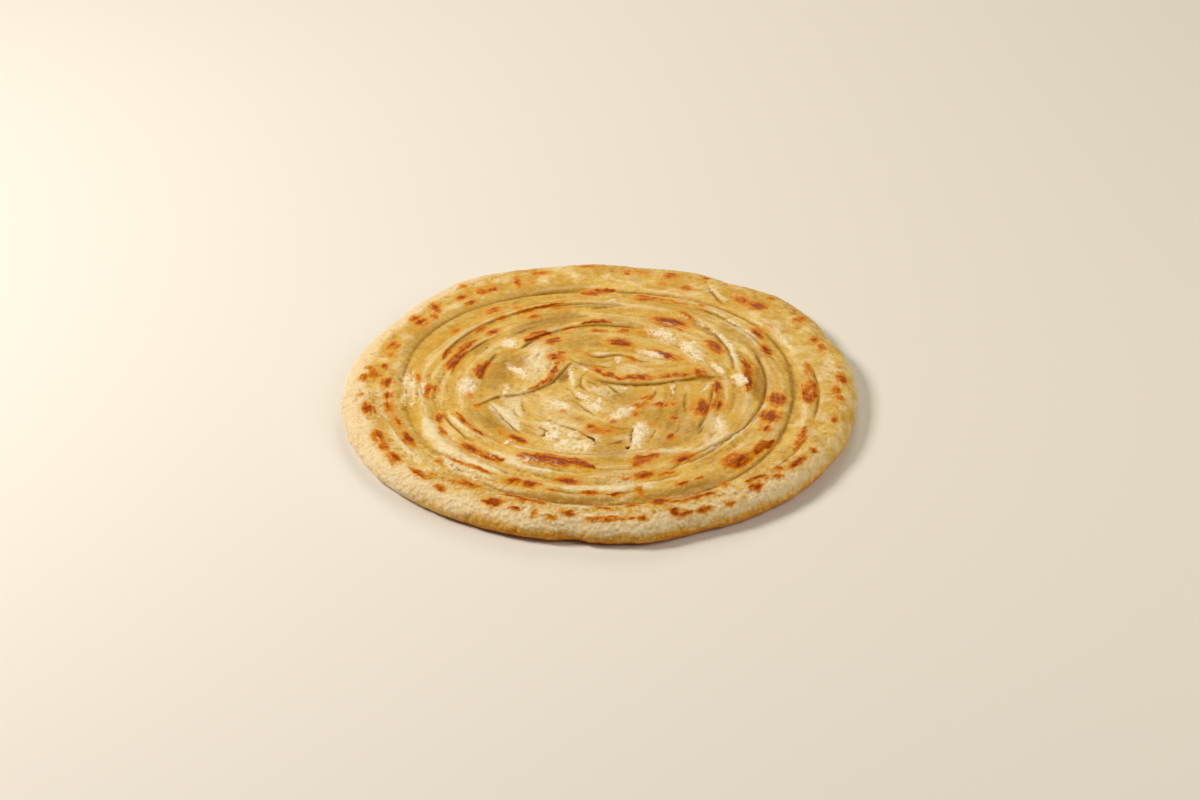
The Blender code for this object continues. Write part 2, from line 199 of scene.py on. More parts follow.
# The coil: each turn of the rope lies a little over the next and was pressed into it by the rolling pin.
# The edge of each turn is a crease with a rounded lip behind it, modelled from its line and its section.
# Points are (angle, radius) about the coil's centre; then rise, crest, groove. The lip lies outside its line.
COIL_FOLDS = {
    "back_left_turn": (((78, 64.5), (100, 65.8), (122, 66.3), (145, 65.3), (161, 63.5)), 0.7, 2.4, 0.25),
    "left_turn": (((132, 57.5), (150, 57.6), (170, 57)), 0.6, 2, 0.2),
    "back_arch": (((70, 49.5), (103, 48.8), (137, 43.5)), 0.7, 2, 0.25),
    "left_pleat": (((139, 49), (156, 46.5), (173, 44)), 0.6, 2, 0.18),
    "rope_end": (((51, 78.2), (56, 82.2), (60, 86.8), (64.5, 94)), 0.5, 2.5, 0.6),
    "back_right_turn": (((22, 69), (42, 71.8), (61, 73.6)), 0.8, 1.8, 0.2),
    "right_arch": (((14, 50.9), (33, 57.6), (48, 62.2), (64, 64.7)), 0.9, 1.8, 0.2),
    "right_turn": (((-66, 56.8), (-50, 53.6), (-25, 56.8), (3, 61.2), (30, 65.4)), 0.9, 2.4, 0.55),
    "right_rim_turn": (((-16, 79), (0, 80.3), (16, 80.5)), 0.5, 2, 0.5),
    "front_left_pleat": (((193, 54), (209, 50.8), (228, 47.5)), 0.6, 1.6, 0.6),
    "front_left_turn": (((214, 69.8), (226, 67.8), (238, 65.8)), 0.6, 2, 0.15),
    "front_turn": (((224, 47), (245, 44), (270, 42.3), (292, 42), (308, 45)), 1.5, 3.6, 1.1),
    "front_second_turn": (((228, 62), (264, 62), (300, 60.5)), 0.6, 2.6, 0.6),
    "front_rim_turn": (((236, 74.6), (271, 74.4), (306, 77.5)), 0.7, 2.2, 0.6),
    "pleat_outer": (((190, 57.9), (199, 58), (206.6, 56.9), (213.8, 55.9)), 0.5, 0.9, 0.45),
    "pleat_middle": (((194, 55.3), (203, 54.1), (212, 52.2), (221.5, 50.2)), 0.5, 0.9, 0.45),
    "back_thin_turn": (((104, 67.5), (112, 67), (122, 66.9)), 0.3, 1, 0.3),
    "rim_thin_turn": (((190, 78.5), (205, 77.5), (222, 76)), 0.3, 1.2, 0.1),
    "front_thin_turn": (((250, 66.6), (266, 66.8), (284, 66.4)), 0.3, 1.2, 0.3),
    "front_rim_line": (((318, 79.4), (330, 80), (340, 80.4)), 0.35, 1.4, 0.4),
    "right_rim_ply": (((20, 77.4), (30, 78.6), (38, 81), (43, 83)), 0.3, 1.2, 0.3),
    "right_inner_ply": (((28, 43.6), (36, 44), (43, 45.6), (48, 50.5)), 0.35, 1.2, 0.35),
    "tongue_ply": (((189.5, 42), (200, 40), (212, 38.8), (224, 38.5)), 0.4, 1.2, 0.4),
    "left_ply_outer": (((170, 71.8), (178, 71.2), (189, 70.8)), 0.35, 1, 0.3),
    "left_ply_inner": (((171, 66.2), (181, 65.6), (191, 65.4)), 0.3, 0.9, 0.3),
    "front_left_ply": (((215, 71.8), (223, 71.2), (232, 70)), 0.3, 1, 0.3),
    "front_ply": (((240, 55), (249, 54.6), (259, 54.2)), 0.3, 1.2, 0.3),
    "front_right_ply": (((294, 56.6), (314, 56.2), (336, 56.2)), 0.4, 1.4, 0.5),
    "front_inner_ply": (((316, 45.4), (330, 43.4), (346, 41.6)), 0.35, 1.2, 0.4),
    "right_turn_ply": (((335, 58.6), (348, 60), (365, 61.4)), 0.4, 1.2, 0.5),
    "back_ply": (((80, 64), (92, 63.8), (104, 64.2)), 0.3, 1.2, 0.4),
    "back_inner_ply": (((120, 43.4), (126, 43), (132, 42)), 0.35, 1, 0.3),
    "back_rim_ply": (((84, 77.2), (98, 77.4), (112, 77.2)), 0.3, 1.4, 0.35),
    "back_wide_ply": (((112, 54.4), (124, 53.4), (136, 52)), 0.35, 1.6, 0.35),
}
# Ridges are rounded swellings along a line: points, rise and half width. One of them is a valley.
COIL_RIDGES = {
    "right_rim_ridge": (((-34, 77), (-5, 76.6), (24, 76.8)), 0.4, 3),
    "right_inner_ridge": (((-8, 54.3), (10, 54.8), (27, 56)), 0.8, 2.4),
    "left_crest": (((183, 65.6), (210, 66.4), (236, 63)), 0.9, 3.2),
    "right_crest": (((-70, 63.5), (-25, 65.5), (20, 67)), 0.6, 3.5),
    "left_stripe": (((212, 60), (225, 58.5), (238, 56.5)), 0.35, 1.2),
    "front_band": (((232, 50), (252, 50), (272, 49.6)), 0.5, 2.6),
    "second_left": (((120, 70.8), (150, 70.5), (182, 70.2)), 0.4, 2.8),
    "front_crest": (((246, 63.6), (268, 63.2), (292, 63.4)), 0.5, 2.4),
    "front_valley": (((236, 72.6), (256, 71.4), (280, 70.8), (306, 72)), -0.65, 2.4),
}
RIM_HEIGHT = 8.8
COIL_HEIGHT = 8.1
RIM_HEIGHT_WAVES = ((2, 0.15, 150), (3, 0.2, 40), (7, 0.15, 10))
# The rim rises from just inside its crease to a few millimetres outside it.
RIM_SLOPE = (-1.0, 5.0)
# Where the crease was pressed almost flat: degrees, half width and the share of its depth that is lost.
FAINT_CREASE = ((211, 40, 0.92), (60, 14, 0.7), (168, 14, 0.3), (8, 26, 0.5))
CREASE_DEPTH = 0.55
CREASE_WIDTH = 0.7
# The turns swell gently between their edges.
TURN_WIDTH = 13.5
TURN_RISE = 0.3
TURN_CREST = 66.0
# Section of every fold: how it runs out at its ends, the groove, the lip's rounding, its height and fall,
# how far it leans over the groove, and the soft shade under it, which is painted into the colour.
FOLD_END = 8.0
SHORT_FOLD_END = 0.4
GROOVE_WIDTH = 0.6
GROOVE_INSIDE = 0.7
LIP_GAIN = 1.1
LIP_ROUND = 0.48
LIP_POWER = 1.4
LIP_FALL = 2.4
LIP_LEAN = 0.5
LEAN_PLACE = 0.7
SHADE_WIDTH = 1.2
SHADE_INSIDE = 0.5
SHADE_GAIN = 1.2
CURVE_STEPS = 8


def ease(value, start, end):
    """0 before start, 1 after end, and a smooth rise between them."""
    t = np.clip((value - start) / (end - start), 0.0, 1.0)
    return t * t * (3.0 - 2.0 * t)


def curve_through(points):
    """A smooth curve through a few points, as an array of close points."""
    knots = np.array(points, float)
    knots = np.vstack([2 * knots[0] - knots[1], knots, 2 * knots[-1] - knots[-2]])
    curve = []
    for before, start, end, after in zip(knots, knots[1:], knots[2:], knots[3:]):
        for t in np.linspace(0.0, 1.0, CURVE_STEPS, endpoint=False):
            bend = 2 * before - 5 * start + 4 * end - after
            twist = 3 * start - before - 3 * end + after
            curve.append(start + 0.5 * ((end - before) * t + bend * t**2 + twist * t**3))
    curve.append(knots[-2])
    return np.array(curve)


def along_coil(x, y, points, fade_length):
    """How far each place is outside a coil line, a factor that fades out at its ends, and the way out."""
    from_x, from_y = x - COIL_CENTRE[0], y - COIL_CENTRE[1]
    distance = np.hypot(from_x, from_y)
    line = curve_through(points)
    turn = (np.degrees(np.arctan2(from_y, from_x)) - line[0, 0]) % 360.0
    span = line[-1, 0] - line[0, 0]
    line_radius = np.interp(turn, line[:, 0] - line[0, 0], line[:, 1])
    travelled = np.radians(turn) * line_radius
    left = np.radians(span - turn) * line_radius
    end = min(fade_length, np.radians(span) * line_radius.mean() * SHORT_FOLD_END)
    fade = ease(travelled, 0.0, end) * ease(left, 0.0, end)
    away = np.maximum(distance, 1e-6)
    return distance - line_radius, np.where(turn < span, fade, 0.0), from_x / away, from_y / away


def crease_share(turn):
    """How sharp the rim's crease is: it was pressed almost flat on the left and at the far right."""
    share = 1.0
    for where, width, loss in FAINT_CREASE:
        share = share - loss * np.exp(-((away_from(np.degrees(turn), where) / width) ** 2))
    return share


def fold_section(offset, rise, crest, groove):
    """Section of a fold: a groove at its edge, a steep rise to the crest and a long fall behind it."""
    inside = np.maximum(offset, 0.0)
    lip = (1.0 - np.exp(-((inside / LIP_ROUND) ** LIP_POWER))) * np.exp(-inside / (LIP_FALL * crest))
    width = np.where(offset > 0.0, GROOVE_WIDTH * GROOVE_INSIDE, GROOVE_WIDTH)
    return LIP_GAIN * rise * lip - groove * np.exp(-((offset / width) ** 2))


def lip_shift(offset, crest):
    """How much of the lean a place takes: all of it at the crest, none at the edge's foot or far behind."""
    inside = np.maximum(offset, 0.0) / (LEAN_PLACE * crest)
    return inside * np.exp(1.0 - inside)


# The heart: the rope's inner end was folded over itself and torn, so flaps, tongues and pleats cross there.
# Points are (x, y) from the coil's centre, then rise, crest and groove as above.
# The last number is the side of the line on which the flap lies: 1 left and -1 right of its direction.
HEART_FOLDS = {
    "left_flap": (
        (
            (-50, -9.2), (-45, -8.6), (-41, -6.6), (-37, -3.6), (-33, -2.6), (-28, -0.6), (-24, 1.8),
            (-19.6, 5), (-16.6, 9.8), (-14, 15), (-12, 19), (-8.5, 23.5),
        ),
        0.65, 2.4, 0.25, 1,
    ),
    "back_flap": (
        ((-8, 31), (-4.6, 27.4), (-1, 25.4), (3, 26.2), (7, 26.9), (11, 25.3), (14.6, 22.8), (21, 22.2)),
        0.5, 2, 0.45, 1,
    ),
    "right_flap": (
        (
            (-4, 12.5), (0, 9.2), (4, 7.1), (8, 6.4), (14, 6.1), (20, 6.3), (26, 7.8), (33, 9.4),
            (39, 10.2), (46, 10.8),
        ),
        0.7, 2.6, 0.3, 1,
    ),
    "front_tongue": (
        ((19.4, 0.6), (14.6, -6.4), (10.6, -11.2), (7.4, -15.2), (4, -19.6)),
        0.8, 1.8, 0.6, 1,
    ),
    "front_flake": (((14, -21), (11.6, -27), (11.4, -32), (11, -37.4)), 0.8, 1.6, 0.5, 1),
    "right_pleat": (((42.4, 6), (41, -4), (40, -10), (39, -15), (37, -21), (34.6, -27)), 0.7, 1.8, 0.6, 1),
    "left_tongue": (
        ((-42, -6), (-38.6, -11), (-36, -16), (-33, -21), (-30, -26.4), (-26, -31)),
        0.6, 1.8, 0.35, 1,
    ),
    "heart_line": (((-11.5, -2.5), (-7.5, -8), (-4, -12.5), (0.5, -17.6)), 0.45, 1.3, 0.45, 1),
    "heart_curl": (((-5, 9.6), (-1, 8.6), (3, 5.4), (6, 2), (8.4, -2)), 0.4, 1.2, 0.5, 1),
    "left_strip": (((-36.5, -4.5), (-35.4, 0), (-34.6, 6.5)), 0.4, 0.9, 0.3, -1),
    "inner_left": (((-28.6, -2.5), (-28.2, -10), (-26, -18)), 0.35, 1.2, 0.35, -1),
    "centre_left": (((-16, 6), (-11.5, 2), (-8.4, -4), (-5.4, -10.5)), 0.3, 1.2, 0.25, -1),
    "centre_strip": (((-11.6, 18.4), (-10.9, 11), (-10.2, 3)), 0.35, 0.9, 0.25, 1),
    "centre_fan": (((-4, 15), (-6.4, 12), (-6.8, 6), (-4.6, 0.5)), 0.35, 1, 0.35, 1),
    "upper_fan": (((-13.6, 27.4), (-9, 22.4), (-2, 19.4), (6, 17.6)), 0.4, 1.4, 0.4, 1),
    "right_first": (((20.8, 3.6), (20.2, -1), (17.6, -6.4)), 0.4, 1, 0.4, -1),
    "right_second": (((27.4, 4.2), (26.4, -0.4), (25.4, -5)), 0.4, 0.9, 0.35, -1),
    "right_third": (((33.4, 5.6), (31.6, -1), (30.6, -8), (31.4, -15)), 0.35, 1.2, 0.2, -1),
    "right_fourth": (((41.4, 6.4), (38.6, 3.4), (37, -1.6)), 0.35, 0.9, 0.3, -1),
    "front_first": (((-25, -21), (-19, -26), (-15, -32), (-9.6, -37.6)), 0.45, 1.2, 0.4, 1),
    "front_second": (((-20.6, -18), (-15, -21.6), (-8, -25.4), (-2.6, -32)), 0.5, 1.4, 0.5, 1),
    "front_third": (((1.6, -21), (7.4, -24.4), (12, -24)), 0.35, 1.2, 0.3, 1),
    "front_fourth": (((-1, -36.4), (5, -34), (11, -30)), 0.35, 1.2, 0.35, 1),
    "front_fifth": (((21, -21), (19.4, -28), (16.6, -35.6)), 0.4, 1.2, 0.35, 1),
    "front_sixth": (((30, -19), (27.6, -27), (23.6, -34.4)), 0.35, 1.4, 0.35, 1),
    "tongue_root": (((-31, -8), (-30.6, -14), (-27.4, -19)), 0.3, 1, 0.3, 1),
}
HEART_RADIUS = 40.0
HEART_DEPTH = 0.6
# The heart sinks between these distances from its radius.
HEART_SLOPE = (-15.0, 5.0)
# A fold reaches this far to either side of its line, and the heart's folds are seen this far to the back.
HEART_REACH = 14.0
REACH_MARGIN = 2.2
REACH_POWER = 4
HEART_SIGHT = 1.5
# The mesh is drawn together by this share, this close to every fold, so that thin edges stay crisp.
GATHER = 0.6
GATHER_WIDTH = 1.4
FAR_AWAY = 1e3


def along_line(x, y, points, fade_length):
    """The same for a line across the heart of the coil: distance is positive on its left."""
    line = curve_through(points)
    offset = np.full_like(x, FAR_AWAY)
    travelled = np.zeros_like(x)
    normal_x = np.zeros_like(x)
    normal_y = np.zeros_like(x)
    margin = REACH_MARGIN * HEART_REACH
    low, high = line.min(axis=0) - margin, line.max(axis=0) + margin
    from_x, from_y = x - COIL_CENTRE[0], y - COIL_CENTRE[1]
    near = (from_x > low[0]) & (from_x < high[0]) & (from_y > low[1]) & (from_y < high[1])
    px, py = from_x[near], from_y[near]
    best = np.full(len(px), np.inf)
    rows = np.zeros((4, len(px)))
    so_far = 0.0
    for (x0, y0), (x1, y1) in zip(line, line[1:]):
        run_x, run_y = x1 - x0, y1 - y0
        length = np.hypot(run_x, run_y)
        part = np.clip(((px - x0) * run_x + (py - y0) * run_y) / length**2, 0.0, 1.0)
        gap = np.hypot(px - x0 - part * run_x, py - y0 - part * run_y)
        side = np.sign(run_x * (py - y0) - run_y * (px - x0))
        closer = gap < best
        best = np.where(closer, gap, best)
        way_x, way_y = np.full_like(gap, -run_y / length), np.full_like(gap, run_x / length)
        rows = np.where(closer, np.array([gap * side, so_far + part * length, way_x, way_y]), rows)
        so_far += length
    offset[near], travelled[near], normal_x[near], normal_y[near] = rows
    end = min(fade_length, so_far * SHORT_FOLD_END)
    fade = ease(travelled, 0.0, end) * ease(so_far - travelled, 0.0, end)
    return offset, fade * np.exp(-((offset / HEART_REACH) ** REACH_POWER)), normal_x, normal_y


def all_folds(x, y):
    """Every fold of the coil and the heart over the given places: offset, fade, way outwards and section."""
    for points, rise, crest, groove in COIL_FOLDS.values():
        yield (*along_coil(x, y, points, FOLD_END), rise, crest, groove)
    for points, rise, crest, groove, side in HEART_FOLDS.values():
        offset, fade, normal_x, normal_y = along_line(x, y - HEART_SIGHT, points, FOLD_END)
        yield side * offset, fade, side * normal_x, side * normal_y, rise, crest, groove


def top_height(x, y):
    """The upper face before its fine relief: height, how far its lips lean along x and y, and its painted
    shade.
    """
    from_x, from_y = x - COIL_CENTRE[0], y - COIL_CENTRE[1]
    distance = np.hypot(from_x, from_y)
    turn = np.arctan2(from_y, from_x)
    past_crease = distance - crease_radius(turn)
    on_rim = ease(past_crease, *RIM_SLOPE)
    off_heart = ease(distance, HEART_RADIUS + HEART_SLOPE[0], HEART_RADIUS + HEART_SLOPE[1])
    turns = TURN_RISE * np.cos(2.0 * np.pi * (distance - TURN_CREST) / TURN_WIDTH) * off_heart
    rim_rise = RIM_HEIGHT - COIL_HEIGHT + waves(turn, RIM_HEIGHT_WAVES)
    height = COIL_HEIGHT - HEART_DEPTH * (1.0 - off_heart)
    height += turns * (1.0 - on_rim) + rim_rise * on_rim
    lean_x = np.zeros_like(x)
    lean_y = np.zeros_like(x)
    rim_crease = crease_share(turn) * np.exp(-((past_crease / CREASE_WIDTH) ** 2))
    fold_shade = rim_crease
    for offset, fade, way_x, way_y, rise, crest, groove in all_folds(x, y):
        height += fade * fold_section(offset, rise, crest, groove)
        lean = fade * LIP_LEAN * rise * lip_shift(offset, crest)
        lean_x -= lean * way_x
        lean_y -= lean * way_y
        shade = np.exp(-(((offset + SHADE_INSIDE) / SHADE_WIDTH) ** 2))
        fold_shade = np.maximum(fold_shade, fade * min(SHADE_GAIN * rise, 1.0) * shade)
    for points, rise, width in COIL_RIDGES.values():
        offset, fade, _, _ = along_coil(x, y, points, FOLD_END)
        height += fade * rise * np.exp(-((offset / width) ** 2))
    height -= CREASE_DEPTH * rim_crease
    return height, lean_x, lean_y, fold_shade


top_x, top_y = x[is_top].copy(), y[is_top].copy()
for offset, fade, way_x, way_y, *_ in list(all_folds(top_x, top_y)):
    pull = GATHER * fade * offset * np.exp(-((offset / GATHER_WIDTH) ** 2))
    top_x -= pull * way_x
    top_y -= pull * way_y
height, lean_x, lean_y, crease_shade = top_height(top_x, top_y)

# Toast marks: where the dough stood proud it touched the griddle, blistered and browned.
# Rows are (angle, radius, half length along the coil, half width, strength, slant in degrees if any).
# Their places were judged on a level plane through the crests, along the sight line of the camera.
RIM_MARKS = (
    (1.5, 87, 2.2, 1.1, 0.85), (6.5, 90, 3, 1.6, 0.7), (11.3, 90.5, 1.3, 0.8, 0.55),
    (20.8, 89.2, 3, 1.2, 0.75, 20), (25, 89.8, 2.6, 1.4, 0.7, 25), (34.7, 93, 1.8, 2.4, 0.95),
    (38.8, 96.4, 1.5, 0.9, 0.6), (46, 95.5, 1.8, 1.2, 0.85), (46.3, 88.4, 3.8, 2.1, 1, -15),
    (51, 87.6, 3.4, 2, 0.82, -10), (36, 80.6, 3.4, 1, 0.4, 12), (63.9, 94.6, 1.2, 0.8, 0.7),
    (66.5, 84.2, 2.4, 1.7, 0.98), (72.3, 91.2, 2.8, 1.5, 0.95), (72.8, 85, 1.8, 1.3, 0.55),
    (80, 91, 4.4, 1.2, 0.7), (83, 90.8, 1.8, 1.3, 0.8), (88, 82.8, 2, 1, 0.42), (93, 96, 3.2, 1.6, 0.7),
    (104.5, 92.2, 4, 1.8, 0.68), (106.2, 93, 1.5, 1.7, 0.8), (111.6, 88.4, 1.2, 3.4, 1, 12),
    (108, 87, 2, 2.2, 0.5), (118.8, 88, 2, 2, 0.85), (121.8, 88, 1.8, 2, 0.88),
    (124.2, 95, 1.3, 1.8, 0.75), (127.6, 88.4, 2, 1.4, 0.85, -35), (127.5, 83, 2.5, 1.1, 0.95, -8),
    (135.7, 89, 1.6, 2.6, 1, 25), (139, 84, 1.5, 2.4, 0.6, 25), (143.2, 86.6, 2.2, 2.8, 1, 20),
    (157, 85.2, 2.8, 1.9, 0.98), (161, 83, 2, 2, 0.55), (167, 82.3, 1.7, 0.9, 1.15, -15),
    (168.4, 88, 1.3, 1, 0.7), (171.2, 84.3, 3, 1.6, 0.98, -18), (173, 88, 2.3, 1.4, 0.78),
    (174.8, 79, 2.6, 1.6, 1.05), (180.7, 87.7, 1.1, 1, 0.8), (187.6, 84.6, 3.4, 1.8, 1, -8),
    (200.4, 84.4, 3.2, 1.7, 0.98), (205.2, 84.6, 2.8, 1.3, 0.9), (210.4, 84.2, 3.2, 1.6, 0.9, -15),
    (212.6, 86, 1.4, 0.9, 0.6), (219.5, 83.1, 3.4, 0.9, 0.95), (228, 83.1, 2.2, 0.9, 0.85),
    (222.6, 80, 1.8, 1, 0.4), (242.6, 80, 2.8, 1.4, 1.05, -12), (248.6, 80.1, 1.8, 0.8, 0.8, 12),
    (253.8, 81.2, 1.3, 0.9, 0.55), (253.6, 79.2, 1.2, 0.8, 0.5), (258, 81, 1.8, 0.9, 0.6),
    (262.1, 78.1, 2.6, 0.9, 0.95), (268.5, 80.4, 2.4, 0.8, 0.85), (280, 81.2, 1.6, 0.9, 0.8),
    (288.5, 80.4, 1.2, 1.3, 1), (291, 81.9, 2.4, 0.7, 0.85), (295.8, 82.2, 2.3, 0.9, 0.8),
    (302.5, 83.2, 2, 0.7, 0.75), (306.5, 83.2, 1.5, 0.6, 0.5), (311.5, 81.7, 2.2, 1.3, 1.1),
    (318.6, 82.8, 1.7, 0.9, 0.85), (321.3, 80.3, 1.6, 1.2, 0.75), (315.6, 80.4, 1.4, 1, 0.6),
    (326.4, 83.2, 4.2, 1, 0.95, 5), (333.3, 84.6, 1.4, 0.9, 0.9), (348, 86, 2.4, 1.3, 0.8),
    (353.8, 86.6, 3, 0.8, 0.45), (357.8, 87.8, 1.8, 1.3, 0.85), (279.4, 91.6, 3, 0.5, 0.5),
)
TURN_MARKS = (
    (35.6, 74, 3.5, 1.4, 0.98, 15), (25.6, 69.8, 3.8, 1.2, 1.05, 18), (37, 54.3, 4.2, 1.7, 1.15, 5),
    (58.4, 75.3, 1.4, 0.8, 0.8), (59.6, 65.3, 3.6, 1.2, 0.85, 18), (62.6, 57.6, 5.6, 2.4, 1.2, -6),
    (56.5, 55, 3, 1.4, 0.5, 35), (68.6, 46.4, 2.5, 0.9, 0.55), (78.8, 45.2, 2, 1.3, 0.8),
    (90.6, 44.6, 3, 1.1, 0.85), (76, 71.6, 3.4, 1.5, 0.9), (124.5, 73.2, 3, 1.4, 0.88),
    (114.8, 60.4, 2.8, 1.3, 0.8), (125, 66.4, 2, 1.5, 0.75), (135.4, 64.5, 3.2, 1.3, 0.75, -12),
    (133, 60.4, 3, 1.2, 0.75), (160, 59, 3, 1.7, 1.1), (141.2, 71, 2.4, 1.2, 0.8),
    (147.6, 73, 3.4, 1, 0.3), (171.6, 68, 2.5, 0.9, 0.75, -25), (179, 63.5, 4.6, 1, 0.8),
    (177.4, 60.8, 2.4, 1.2, 0.82), (181.6, 77.5, 2.2, 1.4, 0.8), (187, 77.2, 4.4, 1.3, 0.85),
    (195.2, 75.8, 3.6, 1.2, 0.9), (204.4, 75.2, 4, 1.4, 1.1), (219.6, 73, 2.2, 0.7, 0.7),
    (228.6, 77.6, 1.8, 1, 0.55), (232.6, 75.2, 4, 1.3, 0.92, -8), (196.5, 60.6, 3, 1.3, 0.92, 8),
    (205, 62.2, 2.6, 0.9, 0.8), (219.4, 59.4, 4.4, 1.5, 1.05), (228.5, 59.2, 4, 0.9, 0.85),
    (191.5, 45.6, 1.5, 1.4, 0.62), (182.5, 48.2, 1.8, 1.1, 0.6), (225, 48.4, 3, 0.9, 0.45),
    (242.4, 65.3, 2.6, 1.8, 0.95), (247.8, 64.9, 2.8, 1.7, 1.05), (241.6, 62, 2, 0.8, 0.45),
    (255.6, 66, 2.2, 0.9, 0.8), (267, 66, 2.8, 1, 0.72), (258.6, 59.2, 3.2, 1.6, 1.12),
    (270.8, 75, 2.8, 0.8, 0.8, 15), (278.5, 74, 1.7, 0.8, 0.95), (286.4, 74, 2.8, 1.4, 1.05),
    (305.6, 74.6, 1.8, 1.3, 0.6), (295.8, 65.8, 2.5, 0.9, 0.9), (301.5, 66, 2, 0.8, 0.92),
    (282, 66, 1.5, 2.6, 0.62), (293.6, 58.3, 3.2, 1, 0.8), (286, 56, 2.9, 2.3, 0.95),
    (279, 57, 2, 0.8, 0.8), (304.2, 52.6, 4.2, 1.6, 0.95, 5), (287.6, 47.2, 3, 1.8, 0.98),
    (317, 65.9, 4.6, 3, 1.2), (329.6, 67.8, 2.4, 1.5, 1.05), (337.6, 64.4, 2.2, 1.4, 0.9),
    (345, 64.2, 3.6, 2.6, 1.02), (356, 64.8, 3.8, 2, 1.18), (337, 78.4, 2.5, 1.4, 0.92),
    (296.6, 43.2, 2.4, 0.9, 0.5), (10, 77.8, 3, 0.9, 0.6), (104, 63.4, 4, 1.5, 0.45),
    (117, 70, 3, 1.3, 0.45), (96, 70.4, 4, 1.2, 0.4),
)
# Streaks run along a crest: points (angle, radius), half width and strength.
STREAKS = (
    (((266.5, 80.4), (273, 80.3), (280.5, 81)), 0.65, 0.85),
    (((241, 74.8), (246, 74), (252, 74.4), (258.5, 74.4)), 0.7, 0.95),
    (((286, 74), (292, 75.8), (297, 75.6), (304, 77.2)), 0.85, 1),
    (((309.5, 77.6), (313, 77.4), (316, 78.8), (318, 80.6)), 0.7, 0.85),
    (((328, 79.4), (333, 78.6), (338, 77.8), (345, 77)), 1.1, 0.75),
    (((352, 76.4), (360, 76.6), (369, 78)), 1.9, 0.98), (((365, 78), (373, 79), (378, 80)), 0.9, 0.55),
    (((59, 72.6), (66, 72.7), (72, 72.4), (80, 71.4)), 0.9, 0.85),
    (((83.5, 75.3), (88, 74.8), (93, 74), (98, 73.5)), 1.7, 1.05),
    (((98, 67.8), (106, 67), (114, 66.6), (123, 66.8)), 0.95, 0.85),
    (((138, 60.6), (146, 60.5), (152, 59.6), (158, 59.2), (165, 58.6)), 1.7, 0.84),
    (((149, 64.7), (154, 64.3), (160, 63.2)), 0.9, 0.8),
    (((357, 53.8), (364, 55), (372, 56.2), (380, 58), (389, 60.8)), 1.5, 0.95),
    (((83, 50.6), (88, 51.8), (94, 51.4), (100.5, 50)), 1.1, 0.92),
    (((99, 48.2), (104, 48), (110, 46.4)), 0.9, 0.85),
    (((111, 46.8), (117, 47.4), (123, 47.2), (130, 46.2)), 2, 0.95),
    (((110, 42.2), (116, 41.2), (123, 40)), 1.5, 0.78),
    (((149, 47.2), (155, 47), (160, 47.2), (165, 46.6), (170, 45.4)), 1.8, 0.95),
    (((191, 54.7), (198, 53), (205, 52.4), (211, 51.6), (218, 50)), 0.55, 0.95),
    (((224, 57.6), (229, 57), (235, 56.6)), 0.6, 0.95),
    (((231.5, 50.6), (240, 50.4), (248, 49), (256, 48), (264, 48.4)), 2.4, 1.1),
    (((247, 48.6), (255, 47.6), (261, 47.8), (271, 50.4)), 1.5, 1.2),
    (((281, 49.8), (285, 49), (290, 47.6), (299, 46.8)), 1.5, 0.92),
    (((321, 67.4), (327, 68), (334.5, 70)), 1.6, 0.98),
    (((217, 70.4), (225.7, 67), (230, 66.2), (237, 65.8)), 0.75, 0.85),
    (((271, 66.8), (274, 66.7), (278, 66.4)), 0.6, 0.7),
)
# Marks of the heart: (x, y) from the coil's centre, half length, half width, direction and strength.
HEART_MARKS = (
    (43.2, 3.4, 4, 1.4, 90, 0.95), (36.6, 14.6, 2.6, 2.1, 10, 0.85), (24.4, 26.4, 5, 1.6, -28, 1.15),
    (8, 35.2, 4.4, 2, -22, 1.1), (-1.5, 37.5, 1.5, 0.7, 0, 0.5), (11.6, 23.6, 2.8, 1, -45, 0.65),
    (4, 12.4, 2.8, 1.2, -42, 1.02), (-0.8, 15.6, 2.8, 1.2, -45, 0.7), (14.8, 11, 4.8, 1.4, -6, 1.02),
    (12.4, 8.4, 1.6, 0.8, 0, 0.45), (25.6, 13, 3.6, 1.1, 14, 0.6), (-16.8, 25, 2.2, 2.6, 60, 1),
    (-14.8, 28.4, 1.6, 1.2, 45, 0.8), (36.8, -10, 4.6, 2.5, 80, 1), (42.8, -7.8, 3.6, 1.6, 85, 0.95),
    (26.8, -16.6, 1.7, 1, 0, 0.9), (22, -8.4, 2.2, 1.4, 0, 0.85), (26, -7.6, 2.6, 1.4, 10, 0.55),
    (13.4, -8.6, 1.5, 1.1, 40, 0.62), (17.2, -3.4, 2.4, 1.8, 70, 0.68), (13.2, -15, 2.4, 1.3, 100, 0.5),
    (25.4, -29.6, 2, 1.2, 80, 0.95), (18.4, -21, 2, 1.4, 80, 0.45), (22, -26.5, 1.6, 1, 60, 0.42),
    (-29.6, -31.2, 3.4, 1.5, -32, 1.05), (-36, -26, 2.6, 1.4, -45, 0.5), (-13.6, -13, 1.6, 1.1, 0, 0.45),
    (0.5, -25, 5.8, 2.2, 2, 0.62), (-3.6, -22.8, 2, 1.2, 40, 0.62), (4.8, -19.8, 1.3, 0.7, 30, 0.9),
    (-33, 30, 2, 1, 45, 0.4), (-18, 36.4, 4, 1.6, 30, 0.55),
)
HEART_STREAKS = (
    (((-29, 0.6), (-24.3, 4.2), (-20.2, 8), (-18, 12.8), (-16.4, 19), (-15, 26)), 0.95, 0.86),
    (((-3.8, 17), (0.9, 13.4), (6.2, 10.8), (12.2, 10.4), (18.9, 9.7)), 1, 0.82),
    (((18, 10), (23, 11), (28.9, 12.6), (35.6, 13.4), (40, 12.6)), 0.9, 0.74),
    (((-12, 30.4), (-7, 29.4), (-2.5, 26.6)), 0.8, 0.55), (((19.6, -3), (16, -8), (12, -13)), 1, 0.5),
)
